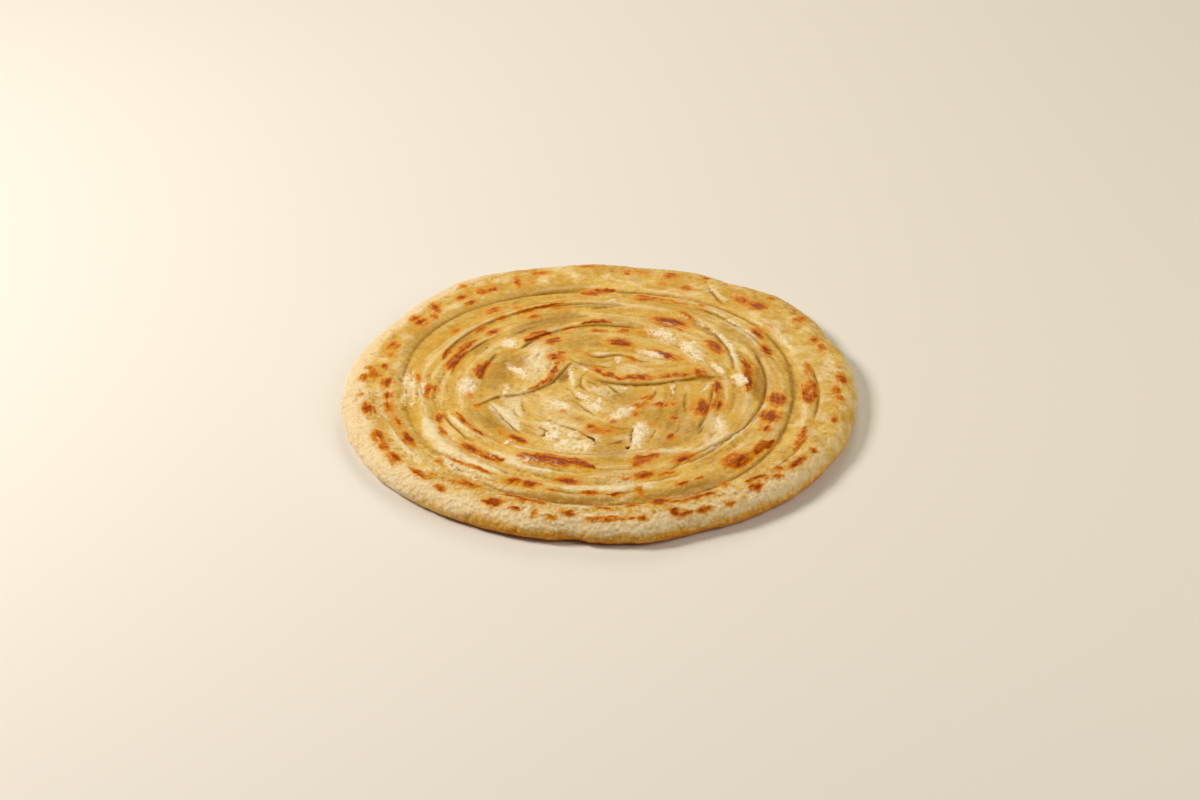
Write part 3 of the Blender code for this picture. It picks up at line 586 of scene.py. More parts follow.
# The level of that plane, and how far the sight line runs back for each millimetre that it drops.
MARK_LEVEL = 8.5
SIGHT_SLOPE = 1.588
# Marks stand up a little, and a streak grows thin and faint over its last millimetres.
MARK_RISE = 0.30
STREAK_END = 16.0
STREAK_TIP = 0.3
STREAK_FADE = 3.0
SPOT_POWER = 2.1
SPOT_SPREAD = 0.75
SPOT_WIDER = 1.15
# Their edges wander, and they are streaky along the coil.
WANDER = 0.75
WANDER_SIZE = 2.4
STREAKY_STRETCH = 6.5
STREAKY_SIZE = 1.5
STREAKY_SHIFT = 0.5
STREAKY_TONE = 0.45
# How fast the finer waves of the noise fade, and how much finer each is than the last.
WAVE_FALL = 0.8
WAVE_STEP = 2.0


def ripples(points, size, octaves, shift=0.0):
    """Smooth noise over points in millimetres, with waves about as long as size. Each shift has its own."""
    places = ((points + shift) / size).tolist()
    return np.array([noise.fractal(place, WAVE_FALL, WAVE_STEP, octaves) for place in places])


def spot(along, across, length, width):
    """A soft-edged oval that is 1 in the middle and fades well beyond its half sizes."""
    return np.exp(-((SPOT_SPREAD * np.hypot(along / length, across / width)) ** SPOT_POWER))


def turned(along, across, degrees):
    """Two distances turned by an angle."""
    c, s = math.cos(math.radians(degrees)), math.sin(math.radians(degrees))
    return along * c + across * s, across * c - along * s


def spots_on_coil(rows, near_angle, near_radius):
    """Strongest of the ovals that lie along the coil."""
    strongest = np.zeros_like(near_angle)
    for where, distance, length, width, strength, *slant in rows:
        along = -np.radians(away_from(near_angle, where)) * distance
        along, across = turned(along, near_radius - distance, -slant[0] if slant else 0.0)
        strongest = np.maximum(strongest, strength * spot(along, across, length, SPOT_WIDER * width))
    return strongest


def spots_at(rows, near_x, near_y):
    """Strongest of the ovals placed from the coil's centre."""
    strongest = np.zeros_like(near_x)
    for row_x, row_y, length, width, direction, strength in rows:
        along, across = turned(near_x - row_x, near_y - row_y, direction)
        strongest = np.maximum(strongest, strength * spot(along, across, length, SPOT_WIDER * width))
    return strongest


def streaks(rows, line_of, near_x, near_y):
    """Strongest of the lines of browning, each thinner and fainter towards its ends."""
    strongest = np.zeros_like(near_x)
    for points, width, strength in rows:
        offset, fade, _, _ = line_of(near_x, near_y, points, STREAK_END)
        taper = SPOT_WIDER * width * (STREAK_TIP + (1.0 - STREAK_TIP) * fade)
        strength = strength * np.minimum(STREAK_FADE * fade, 1.0)
        strongest = np.maximum(strongest, strength * spot(0.0, offset, 1.0, taper))
    return strongest


plan = np.column_stack([top_x, top_y, 0.0 * top_x])
from_x, from_y = top_x - COIL_CENTRE[0], top_y - COIL_CENTRE[1]
distance = np.hypot(from_x, from_y)
around = np.arctan2(from_y, from_x)
stretched = np.column_stack([distance, STREAKY_STRETCH * np.cos(around), STREAKY_STRETCH * np.sin(around)])
streaky = ripples(stretched, STREAKY_SIZE, 2, shift=83.0)
seen_y = top_y - (MARK_LEVEL - height) * SIGHT_SLOPE
near_x = top_x + WANDER * ripples(plan, WANDER_SIZE, 3, shift=31.0)
near_y = seen_y + WANDER * ripples(plan, WANDER_SIZE, 3, shift=57.0)
heart_x, heart_y = near_x - COIL_CENTRE[0], near_y - COIL_CENTRE[1]
near_radius = np.hypot(heart_x, heart_y) + STREAKY_SHIFT * streaky
near_angle = np.degrees(np.arctan2(heart_y, heart_x))
toast = np.maximum.reduce(
    [
        spots_on_coil(RIM_MARKS + TURN_MARKS, near_angle, near_radius),
        spots_at(HEART_MARKS, heart_x, heart_y),
        streaks(STREAKS, along_coil, near_x, near_y),
        streaks(HEART_STREAKS, along_line, near_x, near_y),
    ]
)
toast *= 1.0 + STREAKY_TONE * streaky
height += MARK_RISE * toast

# Torn layers: where the outer skin has broken, thin dry layers stand up in white flakes.
# Beside them lie smooth, pale stretches of the inner dough, which never touched the griddle.
# Flakes and pale patches have rows like the marks of the heart, and pale crests have rows like the streaks.
FLAKE_PATCHES = (
    (-30.4, 15, 5, 1.5, -55, 1.2), (-34, 35.4, 3.2, 2.2, -50, 1.1), (-10.5, 10.5, 7, 0.9, 93, 1),
    (-5.6, 17, 2.4, 0.9, -50, 0.8), (-14.4, -8.6, 4, 1.6, -42, 0.95), (-2, -9.6, 3.6, 1.5, -55, 1.05),
    (-6.4, -2.6, 4.4, 1.2, -50, 0.95), (0, -5, 2, 0.9, 80, 0.8), (-17.4, -29, 3.6, 1.8, 75, 1.1),
    (-13, -34.6, 3.4, 2.2, 60, 0.9), (-6.5, -36, 3.4, 2.4, 20, 1), (-10, -28.6, 2.4, 1.4, 40, 0.9),
    (-18, -22.6, 4.4, 1.8, -30, 0.9), (14.6, -25.4, 4.4, 1.8, 83, 1.05), (13.4, -32, 4.6, 1.6, 75, 1.05),
    (7.8, -14.4, 5, 1.5, 52, 1.1), (43, -22, 4.6, 1.4, 80, 0.7), (18.8, 27.6, 4.2, 1.2, -28, 1.35),
    (33, 30.6, 5, 1.4, -75, 1.1), (36.4, 24.4, 2.6, 1.4, -50, 1), (34.6, 35.4, 2.4, 1.4, 40, 0.9),
    (43.6, 17.4, 3.8, 1, -60, 1.2), (7, 23.4, 1.6, 1, 90, 1), (26.6, 1.8, 3.4, 0.7, 86, 1),
    (39.6, 4.4, 3.4, 0.9, 58, 0.9), (9.3, 3.4, 0.9, 0.7, 90, 1.1), (51.3, 9.2, 3.2, 1.7, 100, 1.6),
    (-49.5, 4, 5, 2.6, 90, 0.9), (-35, 1, 4.6, 1, 84, 0.8), (24, 42.4, 6.4, 2.4, -28, 1),
    (4.6, 67.5, 1.3, 1.2, 0, 0.9), (20.2, 3, 1.2, 0.6, 90, 0.8), (-33, -33.5, 2.2, 0.9, 60, 0.9),
    (-69, 1, 8.5, 2.2, 88, 0.4), (2, 4.6, 2.6, 1, -40, 0.5), (-21.4, 17.4, 3.4, 1.2, -50, 0.6),
)
PALE_PATCHES = (
    (-23.4, 24, 11, 3.6, 84, 1), (-22, 11.5, 4.4, 2.6, 40, 0.6), (11, 16.6, 4, 2.4, 0, 0.7),
    (1.6, 27.6, 2.6, 1.2, -10, 0.7), (25, 37.4, 4, 1.8, -20, 0.8), (35, 30, 7, 3.2, -72, 0.7),
    (-31.4, -11, 8, 2.4, 95, 0.9), (-16, -10, 7, 3.6, -42, 0.7), (-1.4, -8, 5, 2.6, -60, 0.6),
    (-15, -25, 7, 5.4, 0, 0.6), (-10, -35, 7, 3.4, 10, 0.7), (8, -14, 5.4, 2.8, 52, 0.7),
    (14, -28.6, 8, 2.6, 78, 0.7), (42.6, -21.6, 6, 2.6, 84, 0.7), (41, -30.4, 5.4, 2.8, 40, 0.7),
    (27, -38.6, 11, 1.4, 5, 0.7), (-50.5, -48, 7.5, 2.6, -46, 0.7), (-48.4, 5, 5.4, 2.6, 84, 0.8),
    (14.6, 20.4, 3, 1.6, 0, 0.3), (-1, 2, 4, 2, -30, 0.5), (20, -10, 3.4, 1.8, 40, 0.4),
    (8, -57.4, 4, 2.4, 10, 0.7), (-71.4, 10, 8, 2.4, 98, 0.5),
)
PALE_CRESTS = (
    (((20, 55), (28, 57.4), (36, 59.8), (50, 61.8)), 1.1, 1.1),
    (((15, 47.4), (20, 47.6), (25, 47.4)), 0.8, 0.8),
    (((26, 67.6), (34, 70), (42, 71), (50, 73.6)), 1.1, 1.1),
    (((191, 64.5), (205, 66), (220, 65.6), (240, 62)), 2.2, 1),
    (((189.5, 42), (200, 40), (212, 38.8), (224, 38.5)), 1, 1),
    (((28, 43.6), (36, 44), (43, 45.6), (48, 50.5)), 1.1, 0.9),
    (((21, 77.4), (30, 78.6), (38, 81), (43, 83)), 0.9, 0.9), (((52, 83), (58, 86), (63, 91)), 1, 0.7),
    (((336, 59.3), (346, 60.6), (356, 61.2)), 0.7, 0.8),
    (((171, 71.4), (178, 71), (188, 70.6)), 0.8, 0.8),
    (((172, 65.8), (181, 65.4), (190, 65.2)), 0.6, 0.9), (((172, 69), (180, 68.4), (187, 68)), 0.6, 0.7),
    (((216, 71.4), (223, 71), (231, 69.8)), 0.9, 0.8), (((224, 69), (230, 68.4), (238, 67.6)), 0.8, 0.7),
    (((222, 54.6), (232, 55.4), (243, 55.2), (256, 54.4)), 1.7, 1),
    (((312, 54.2), (320, 53), (330, 51), (337, 49.4)), 2, 0.7),
    (((341, 76), (349, 75.2), (357, 74.6)), 0.9, 0.7),
    (((195, 55.6), (202, 55.2), (211, 53.4)), 0.6, 0.9), (((226, 47.6), (231, 47), (236, 46)), 0.7, 0.7),
    (((198, 78.6), (206, 78.6), (214, 78)), 0.8, 0.95), (((93, 87), (96, 88), (98.5, 90)), 1.6, 0.5),
    (((103, 84), (105, 86), (107, 87)), 1.2, 0.5), (((127, 86), (132, 85), (138, 84)), 1.4, 0.5),
    (((262, 55.6), (270, 55.4), (279, 54.6)), 0.9, 0.5),
    (((192, 57.2), (200, 56.6), (208, 55.6), (216, 54.2)), 0.45, 1.1),
    (((218, 61.8), (226, 60.6), (234, 59.8)), 0.4, 1.1),
    (((254, 63.6), (266, 63.2), (278, 62.8), (292, 63.4)), 1.9, 0.9),
    (((62, 78), (70, 78.6), (80, 78.4)), 1, 0.5),
)
HEART_CRESTS = (
    (((-41, -6.4), (-37.6, -10), (-34.6, -14.4), (-31.6, -19.6), (-28, -27)), 1.7, 1.4),
    (((19, -1), (14.4, -7), (10.8, -11.4), (7.4, -15.4), (4.4, -19)), 0.9, 1.2),
    (((40.8, -6.4), (39.8, -13), (38.4, -19.6), (36.4, -25.4)), 0.6, 1.1),
    (((-33, 0.6), (-28, -0.6), (-22, 3.4)), 0.8, 0.5),
)
# Burst blisters on the coil, as torn specks and white edges, have rows like the rim's marks.
BURST_MARKS = (
    (240, 51, 5, 1.6, 0.62), (250, 50, 3.6, 1.2, 0.45), (238, 52.4, 3.6, 0.5, 0.7),
    (63.4, 56.2, 3, 0.5, 0.75), (228, 57.8, 3.2, 0.5, 0.6), (59, 63.4, 3, 0.8, 0.7),
    (51, 63, 3.4, 0.9, 0.75), (43, 61.9, 4.2, 0.9, 0.85, 8), (35, 59.6, 4.2, 0.9, 0.85, 12),
    (28, 57.2, 2.6, 0.8, 0.7, 12), (51, 73.6, 3, 0.8, 0.75), (45, 72.2, 4.2, 0.9, 0.85),
    (38, 71.2, 3.6, 0.8, 0.75), (40, 78.8, 3.2, 0.7, 0.7), (34, 81.2, 3, 0.7, 0.7),
    (25, 78.4, 4.6, 0.8, 0.8), (60.5, 86.4, 4, 0.7, 0.6, -60), (173, 72.4, 4, 0.7, 0.9),
    (183, 72, 3.6, 0.7, 0.8), (175, 69.6, 4, 0.7, 0.8), (186, 68.8, 3.4, 0.7, 0.7),
    (177, 65.6, 4.6, 0.8, 0.95), (168, 70.8, 2.6, 0.7, 0.7), (96, 86.6, 3, 0.8, 0.45, 40),
    (105, 85.4, 3, 0.7, 0.4, -30), (133, 85, 4.4, 0.7, 0.4, -15), (222, 71.6, 4.2, 0.8, 0.7, 4),
    (231, 71.8, 4.4, 0.8, 0.65), (227, 68.4, 3.6, 0.6, 0.6), (221, 60.4, 3.2, 0.4, 0.5),
    (160, 60.6, 2, 0.5, 0.5), (283, 54, 1.6, 0.9, 0.5), (279, 59.4, 1.8, 1.2, 0.6),
)
# Torn places stand up a little and end in shreds, which are twice as long from left to right.
FLAKE_RISE = 0.1
SHRED_RISE = 0.5
SHRED_SHARPNESS = 2.2
SHRED_SIZE = 1.4
SHRED_STRETCH = (1.0, 2.0, 1.0)
PALE_RISE = 0.22

flake = np.maximum(
    spots_at(FLAKE_PATCHES, heart_x, heart_y), spots_on_coil(BURST_MARKS, near_angle, near_radius)
)
pale = np.maximum.reduce(
    [
        spots_at(PALE_PATCHES, heart_x, heart_y),
        streaks(PALE_CRESTS, along_coil, near_x, near_y),
        streaks(HEART_CRESTS, along_line, near_x, near_y),
    ]
)
shreds = 1.0 - SHRED_SHARPNESS * np.abs(ripples(plan * SHRED_STRETCH, SHRED_SIZE, 3, shift=91.0))
height += flake * (FLAKE_RISE + SHRED_RISE * shreds) + PALE_RISE * pale

# Soaked dough and painted shade in one colour: smooth stretches where ghee collected are deeper in colour,
# and the same colour is painted as shade along the creases, in recesses, under the flaps and beside some
# turns.
# Bands have rows like the streaks and patches like the marks of the heart. The patches lie lower by RECESS.
SOAKED_AND_SHADED_BANDS = (
    (((92, 57), (108, 56), (122, 54.4), (134, 54)), 3, 0.9),
    (((138, 54.6), (145, 55), (152, 54)), 1.6, 0.9), (((140, 41), (155, 41), (170, 41.5)), 3.2, 0.9),
    (((90, 79), (110, 79.6), (126, 79.8), (142, 79.4), (164, 78.6)), 2.4, 0.6),
    (((28, 65.6), (38, 66), (50, 67.4)), 3.6, 0.6), (((72, 52), (80, 52), (90, 54)), 1.8, 0.6),
    (((86, 38), (100, 38.6), (114, 36)), 4, 0.6), (((264, 39), (276, 41), (286, 40)), 3.6, 0.7),
    (((308, 36), (320, 35), (334, 37)), 7, 0.55),
    (((240, 72.4), (252, 71.4), (262, 70.6), (278, 70)), 2, 1),
    (((276, 70.4), (288, 70), (300, 70.4), (312, 71.4)), 2, 1),
    (((20, 64.6), (25, 65.6), (31, 64.6)), 1.2, 0.9), (((205, 45), (214, 44), (224, 42.6)), 2.2, 0.6),
    (((352, 57.6), (364, 59.2), (381, 62)), 2.4, 1),
)
SOAKED_AND_SHADED_PATCHES = (
    (-37, 15, 9, 3, 80, 0.9), (-32, 24, 4, 3, 60, 0.8), (-38, -17, 7, 2, -55, 0.8),
    (-13.4, 11.6, 3.4, 1.7, 70, 1.5), (-6, 21, 3.4, 2, 50, 0.7), (12, 6.2, 8, 1.2, 0, 1),
    (38, 10, 7, 1.2, 4, 1), (36, -22, 5, 1.4, 70, 1), (32, -12, 4, 1.4, 70, 0.6), (6, -27, 5, 2, 0, 0.6),
    (33, -24, 4.6, 3, 60, 0.8), (24, -33, 5, 2.4, 10, 0.7), (-31, 22.6, 3.4, 2.6, 80, 0.9),
    (-36.6, 16, 10, 2.2, 82, 0.9), (-41, 6, 4, 3, 0, 0.6), (4, -33, 6, 2, 10, 0.6),
    (7, -1.8, 5, 3.2, -20, 0.7), (23, -14, 8, 4, 0, 0.55), (3, -25.6, 7, 2.6, 0, 0.6),
    (-4.6, 21.6, 4.4, 1.8, 0, 0.6), (-38.6, -20, 8, 2.6, -52, 1), (38.4, -18, 4.6, 0.9, 72, 0.9),
    (-9, 34, 3, 3, 0, 0.5),
)
RECESS = 0.38
# The creases and the ground under the folds' lips are painted with this share of the soaked colour, as
# painted shade.
CREASE_SHADE = 0.85
# Small slits and pinholes, where a layer has parted, their insides painted in deep shade: (x, y), half
# length, half width, direction and depth.
SLITS = (
    (-3.2, -30.6, 2.1, 0.4, -55, 1.5), (10, -36.2, 0.8, 0.5, 60, 1.4), (-42.6, 32.4, 0.35, 0.35, 0, 1),
    (-6.2, -8.4, 1, 0.32, -45, 0.8), (-20, -28, 1.2, 0.35, 80, 0.7), (-18, -19, 1, 0.3, 0, 0.5),
    (4.8, -20, 0.8, 0.35, -60, 0.7),
)

pooled_and_shaded = spots_at(SOAKED_AND_SHADED_PATCHES, heart_x, heart_y)
height -= RECESS * pooled_and_shaded
soak_and_shade = np.maximum.reduce(
    [streaks(SOAKED_AND_SHADED_BANDS, along_coil, near_x, near_y), pooled_and_shaded, CREASE_SHADE * crease_shade]
)
slit = spots_at(SLITS, heart_x, heart_y)
height -= slit

# The skin: stretched dough with fine bubbles. Its waves are long along the coil and short across it.
# In places the sheets are drawn into fine pleats. Rows are (x, y) from the coil's centre, half length and
# half width of the place, direction of the pleats in degrees, their spacing and height.
PLEATS = (
    (-14, -14, 19, 12, -38, 2.6, 0.30), (27, -12, 18, 10, 80, 2.8, 0.30), (10, 24, 24, 9, -6, 2.6, 0.22),
    (-24, 18, 15, 9, 72, 2.8, 0.26), (3, -30, 14, 8, 12, 2.6, 0.26), (0, 4, 11, 8, -48, 2.2, 0.36),
    (-66, 1, 13, 7, 92, 2.2, 0.40), (-44, -46, 20, 9, -46, 2.4, 0.34), (-16, -58, 22, 9, -14, 2.4, 0.26),
    (40, 37, 22, 8, -46, 2.6, 0.26), (-50, 6, 8, 6, 85, 2, 0.34), (44, -26, 12, 7, 66, 2.6, 0.26),
    (-10, 62, 34, 6, 8, 2.4, 0.20), (66, -10, 24, 7, 82, 2.4, 0.24), (14, -64, 26, 6, 10, 2.4, 0.22),
)
# Pleats are five times as long as their spacing, and their sheets differ in tone.
PLEAT_LENGTH = 5.0
PLEAT_LEVEL = 0.6
PLEAT_SHARPNESS = 2.2
SHEET_STRETCH = (1.0, 0.55, 1.0)
LEAST_SHARE = 0.02
# The rim starts between these distances from its crease, and its dough is mottled.
ONTO_RIM = (-2.0, 5.0)
RIM_TONE = 0.9
RIM_TONE_SIZE = 5.5
# Thin plies show in patches on the coil, outside the heart and inside the rim, and fibres all over the coil.
PLY_SIZE = 3.4
PLY_SHARPNESS = 2.4
PLY_RISE = 0.20
PLY_PATCH_SIZE = 16.0
PLY_PATCH_EDGE = (-0.25, 0.3)
PLIES_FROM = (22.0, 42.0)
PLIES_TO = (4.0, -3.0)
FIBRE_SIZE = 1.3
FIBRE_RISE = 0.10
FIBRES_TO = (6.0, -2.0)
# Broad dents and small dimples cover all of it.
DENT_SIZE = 7.0
DENT_RISE = 0.16
DIMPLE_SIZE = 1.8
DIMPLE_RISE = 0.12
# Blisters crowd the shoulder, from 16 mm inside the edge. The edge itself is rounded down to the widest line.
BLISTER_SIZE = 2.8
BLISTER_RISE = 0.30
BLISTER_ZONE = (-16.0, -7.0)
SHOULDER_POWER = 2.2
EQUATOR_HEIGHT = 3.6


def inset_from_edge(x, y):
    """How far inside the outline a place in the plan is."""
    return outline_radius(np.arctan2(y, x)) - np.hypot(x, y)


sheet_tone = np.zeros_like(height)
for row_x, row_y, length, width, direction, spacing, rise in PLEATS:
    along, across = turned(heart_x - row_x, heart_y - row_y, direction)
    place_share = spot(along, across, length, width)
    inside = place_share > LEAST_SHARE
    pleated = np.column_stack([along / (PLEAT_LENGTH * spacing), across / spacing, 0.0 * along])
    pleated = pleated[inside] + row_x
    folded = PLEAT_LEVEL - PLEAT_SHARPNESS * np.abs(ripples(pleated, 1.0, 2))
    height[inside] += rise * place_share[inside] * folded
    sheet_tone[inside] += place_share[inside] * ripples(pleated * SHEET_STRETCH, 1.0, 3, shift=7.0)
past_rim = distance - crease_radius(around)
onto_rim = ease(past_rim, *ONTO_RIM)
sheet_tone += onto_rim * RIM_TONE * ripples(plan, RIM_TONE_SIZE, 3, shift=13.0)
plies = 1.0 - PLY_SHARPNESS * np.abs(ripples(stretched, PLY_SIZE, 2, shift=11.0))
plies_here = ease(ripples(plan, PLY_PATCH_SIZE, 1, shift=67.0), *PLY_PATCH_EDGE)
plies_here *= ease(distance, *PLIES_FROM) * ease(past_rim, *PLIES_TO)
height += PLY_RISE * plies * plies_here
height += FIBRE_RISE * ripples(stretched, FIBRE_SIZE, 2, shift=29.0) * ease(past_rim, *FIBRES_TO)
height += DENT_RISE * ripples(plan, DENT_SIZE, 2, shift=5.0)
height += DIMPLE_RISE * ripples(plan, DIMPLE_SIZE, 2, shift=17.0)
top_inset = inset_from_edge(top_x, top_y)
blisters = 1.0 - 2.0 * np.abs(ripples(plan, BLISTER_SIZE, 3, shift=61.0))
height += BLISTER_RISE * blisters * ease(-top_inset, *BLISTER_ZONE)

shoulder = 1.0 - np.clip(top_inset / SHOULDER_WIDTH, 0.0, 1.0)
roundness = np.sqrt(np.maximum(1.0 - shoulder**SHOULDER_POWER, 0.0))
z = np.empty_like(x)
z[is_top] = EQUATOR_HEIGHT + (height - EQUATOR_HEIGHT) * roundness
x[is_top] = top_x + lean_x
y[is_top] = top_y + lean_y

# The underside lay flat on the griddle: it is level, with two creases of the coil and shallow pits in it.
# Its edge is rounded up to the widest line. Creases are (share of the rim crease's radius, depth).
BASE_CREASES = ((1.0, 0.7), (0.72, 0.5))
BASE_CREASE_WIDTH = 2.2
PIT_SIZE = 9.0
PIT_DEPTH = 0.35
PITS_FROM = (3.0, 8.0)
BASE_TOAST = 0.55
BASE_TOAST_RANGE = 0.5
BASE_TOAST_SIZE = 11.0
BASE_TOAST_FROM = (2.0, 7.0)

below = ~is_top
below_inset = inset_from_edge(x[below], y[below])
foot = 1.0 - np.clip(below_inset / FOOT_WIDTH, 0.0, 1.0)
lift = EQUATOR_HEIGHT * (1.0 - np.sqrt(np.maximum(1.0 - foot**2, 0.0)))
base_x, base_y = x[below] - COIL_CENTRE[0], y[below] - COIL_CENTRE[1]
base_crease = crease_radius(np.arctan2(base_y, base_x))
for share, depth in BASE_CREASES:
    away = np.abs(np.hypot(base_x, base_y) - share * base_crease)
    lift += depth * np.maximum(1.0 - away / BASE_CREASE_WIDTH, 0.0)
base_plan = np.column_stack([x[below], y[below], 0.0 * base_x])
base_pits = np.maximum(ripples(base_plan, PIT_SIZE, 3, shift=71.0), 0.0)
lift += PIT_DEPTH * base_pits * ease(below_inset, *PITS_FROM)
z[below] = lift
base_toast = BASE_TOAST + BASE_TOAST_RANGE * ripples(base_plan, BASE_TOAST_SIZE, 3, shift=23.0)

# Swelling of the side: bubbles pushed the rim out here and there, most at its widest line.
# Rows are (height, size, shift of the waves).
SWELLS = ((0.55, 10.0, 3.0), (0.32, 2.8, 41.0))
SWELL_ZONE = (-5.0, -0.5)

side_share = np.where(is_side, np.cos(foot_turn), 0.0)
side_share = np.where(is_top, ease(-inset_from_edge(x, y), *SWELL_ZONE), side_share)
points = np.column_stack([x, y, z])
swell = sum(rise * ripples(points, size, 2, shift) for rise, size, shift in SWELLS)
outwards = np.arctan2(y, x)
x += side_share * swell * np.cos(outwards)
y += side_share * swell * np.sin(outwards)

# Tints for the colours. The rim's outer shoulder never touched the griddle on the left and in front,
# so it is dry and pale there. Near its foot it is toasted gold again, under painted shade that deepens
# towards the bottom. Crests get a painted highlight and hollows a painted shade.
# Directions are in degrees, and each has the two cosines between which it fades in.
PALE_RIM_WAY = (225.0, -0.45, 0.1)
FRONT_WAY = (285.0, 0.3, 0.85)
LEFT_WAY = (168.0, 0.5, 0.95)
CRUMB_WAY = (248.0, 0.0, 0.65)
# The dry band is this wide and is full from 0.45 of it, and on the left it reaches further in.
PALE_RIM_WIDTH = 9.0
PALE_RIM_FULL = 0.45
LEFT_EDGE_REACH = (1.5, 0.4)
LEFT_DRYNESS = 0.8
# The gold of the foot, toast with painted shade, ends at the first height and is full from the second down,
# along a line that wavers.
GOLDEN_SHADED_FOOT = (7.0, 3.4)
FOOT_WAVER = 1.2
FOOT_WAVER_SIZE = 8.0
FOOT_TOAST = 0.36
FOOT_EDGE_SHADE = 0.34
# Its extra toast and its soaked colour, both painted shade, grow from the first height down to the second.
# Both are counted as depths.
FOOT_EDGE = (-3.0, -0.6)
FOOT_SOAK_AND_SHADE = (-4.2, -0.3)
# The least of each, in the directions where it doesn't show: gold, dry rim, soaked colour and painted shade
# at the foot, and bubbles.
LEAST_GOLD = 0.06
LEAST_DRY = 0.2
LEAST_FOOT_SOAK_AND_SHADE = 0.2
LEAST_BUBBLES = 0.25
# Bubbles: some everywhere, more near the edge, in patches and on pale dough, most towards the front left.
# They fade where the soaked colour and its painted shade lie.
BUBBLES = 0.25
EDGE_BUBBLES = 0.6
BUBBLE_BAND = (-24.0, -12.0)
PATCH_BUBBLES = 0.3
BUBBLE_PATCH_SIZE = 14.0
PALE_BUBBLES = 0.3
FADED_BY_SOAK_AND_SHADE = 0.8
FEWEST_BUBBLES = 0.08
# The sheets of the heart take over from the turns of the coil between these distances, counted inwards.
HEART_SHEETS = (-46.0, -34.0)
# Rounds of levelling, and how far inside the edge it starts to count.
LEVEL_ROUNDS = 8
LIGHT_AND_SHADE_FROM = (1.0, 6.0)


def over_all(values):
    """Values of the upper face spread over the whole mesh, with nothing elsewhere."""
    spread = np.zeros_like(x)
    spread[is_top] = values
    return spread


def facing(degrees, start, full):
    """How far each place lies towards a direction: 0 before the first cosine and 1 after the second."""
    return ease(np.cos(np.arctan2(y, x) - math.radians(degrees)), start, full)


def at_least(least, share):
    """A share of one, raised so that it is never under the least."""
    return least + (1.0 - least) * share


inset = inset_from_edge(x, y)
in_front = facing(*FRONT_WAY)
near_edge = ease(-inset, -PALE_RIM_WIDTH, -PALE_RIM_FULL * PALE_RIM_WIDTH) * ~is_base
foot_line = z - FOOT_WAVER * ripples(points, FOOT_WAVER_SIZE, 2, shift=53.0)
golden_shaded_foot = near_edge * at_least(LEAST_GOLD, in_front) * ease(-foot_line, -GOLDEN_SHADED_FOOT[0], -GOLDEN_SHADED_FOOT[1])
left_start, left_full = LEFT_EDGE_REACH
left_edge = ease(-inset, -left_start * PALE_RIM_WIDTH, -left_full * PALE_RIM_WIDTH) * ~is_base
dry_rim = near_edge * at_least(LEAST_DRY, facing(*PALE_RIM_WAY)) * (1.0 - golden_shaded_foot)
dry_rim += LEFT_DRYNESS * facing(*LEFT_WAY) * left_edge

all_toast = over_all(toast)
all_toast[below] = np.where(is_side[below], 0.0, base_toast * ease(below_inset, *BASE_TOAST_FROM))
# Painted shade at the foot: more toast and more soaked colour towards the bottom.
foot_toast_and_shade = FOOT_TOAST + FOOT_EDGE_SHADE * ease(-z, *FOOT_EDGE)
all_toast = np.maximum(all_toast, golden_shaded_foot * foot_toast_and_shade * ~is_base)
foot_soak_and_shade = at_least(LEAST_FOOT_SOAK_AND_SHADE, in_front) * near_edge * ease(-z, *FOOT_SOAK_AND_SHADE)
all_soak_and_shade = np.maximum(over_all(soak_and_shade), foot_soak_and_shade)

# How far a place stands above the mesh around it, which is levelled by moving each point to the mean
# height of its neighbours a few times. It sets a painted highlight on crests and a painted shade in hollows.
edge_ends = np.empty(len(bread.data.edges) * 2, dtype=np.int32)
bread.data.edges.foreach_get("vertices", edge_ends)
one_end, other_end = edge_ends.reshape(-1, 2).T
neighbours = np.bincount(edge_ends, minlength=len(x))
level = z.copy()
for _ in range(LEVEL_ROUNDS):
    total = np.bincount(one_end, weights=level[other_end], minlength=len(x))
    total += np.bincount(other_end, weights=level[one_end], minlength=len(x))
    level = total / neighbours
proud_light_and_shade = np.where(is_top, (z - level) * ease(inset, *LIGHT_AND_SHADE_FROM), 0.0)

bubble_patches = over_all(ripples(plan, BUBBLE_PATCH_SIZE, 1, shift=47.0))
bubbly = BUBBLES + EDGE_BUBBLES * ease(-inset, *BUBBLE_BAND) + PATCH_BUBBLES * bubble_patches
bubbly = bubbly * at_least(LEAST_BUBBLES, facing(*CRUMB_WAY)) + PALE_BUBBLES * over_all(pale)
bubbly = np.clip(bubbly * (1.0 - FADED_BY_SOAK_AND_SHADE * np.minimum(all_soak_and_shade, 1.0)), FEWEST_BUBBLES, 1.0)
off_coil = over_all(np.maximum(ease(-distance, *HEART_SHEETS), onto_rim))

# The points go back into the mesh, with the middle of the outline's box over the frame's origin.
middle = [(values.min() + values.max()) / 2.0 for values in (x, y)]
shaped = np.column_stack([x - middle[0], y - middle[1], z]) * MM
bread.data.vertices.foreach_set("co", shaped.astype(np.float32).ravel())
tint_values = {
    "toast": all_toast,
    "flake": over_all(flake),
    "pale": over_all(pale),
    "dry_rim": dry_rim,
    "soak_and_shade": all_soak_and_shade,
    "slit": over_all(slit),
    "proud_light_and_shade": proud_light_and_shade,
    "bubbly": bubbly,
    "off_coil": off_coil,
    "sheet_tone": over_all(sheet_tone),
}
for name, values in tint_values.items():
    attribute = bread.data.attributes.new(name, "FLOAT", "POINT")
    attribute.data.foreach_set("value", values.astype(np.float32))

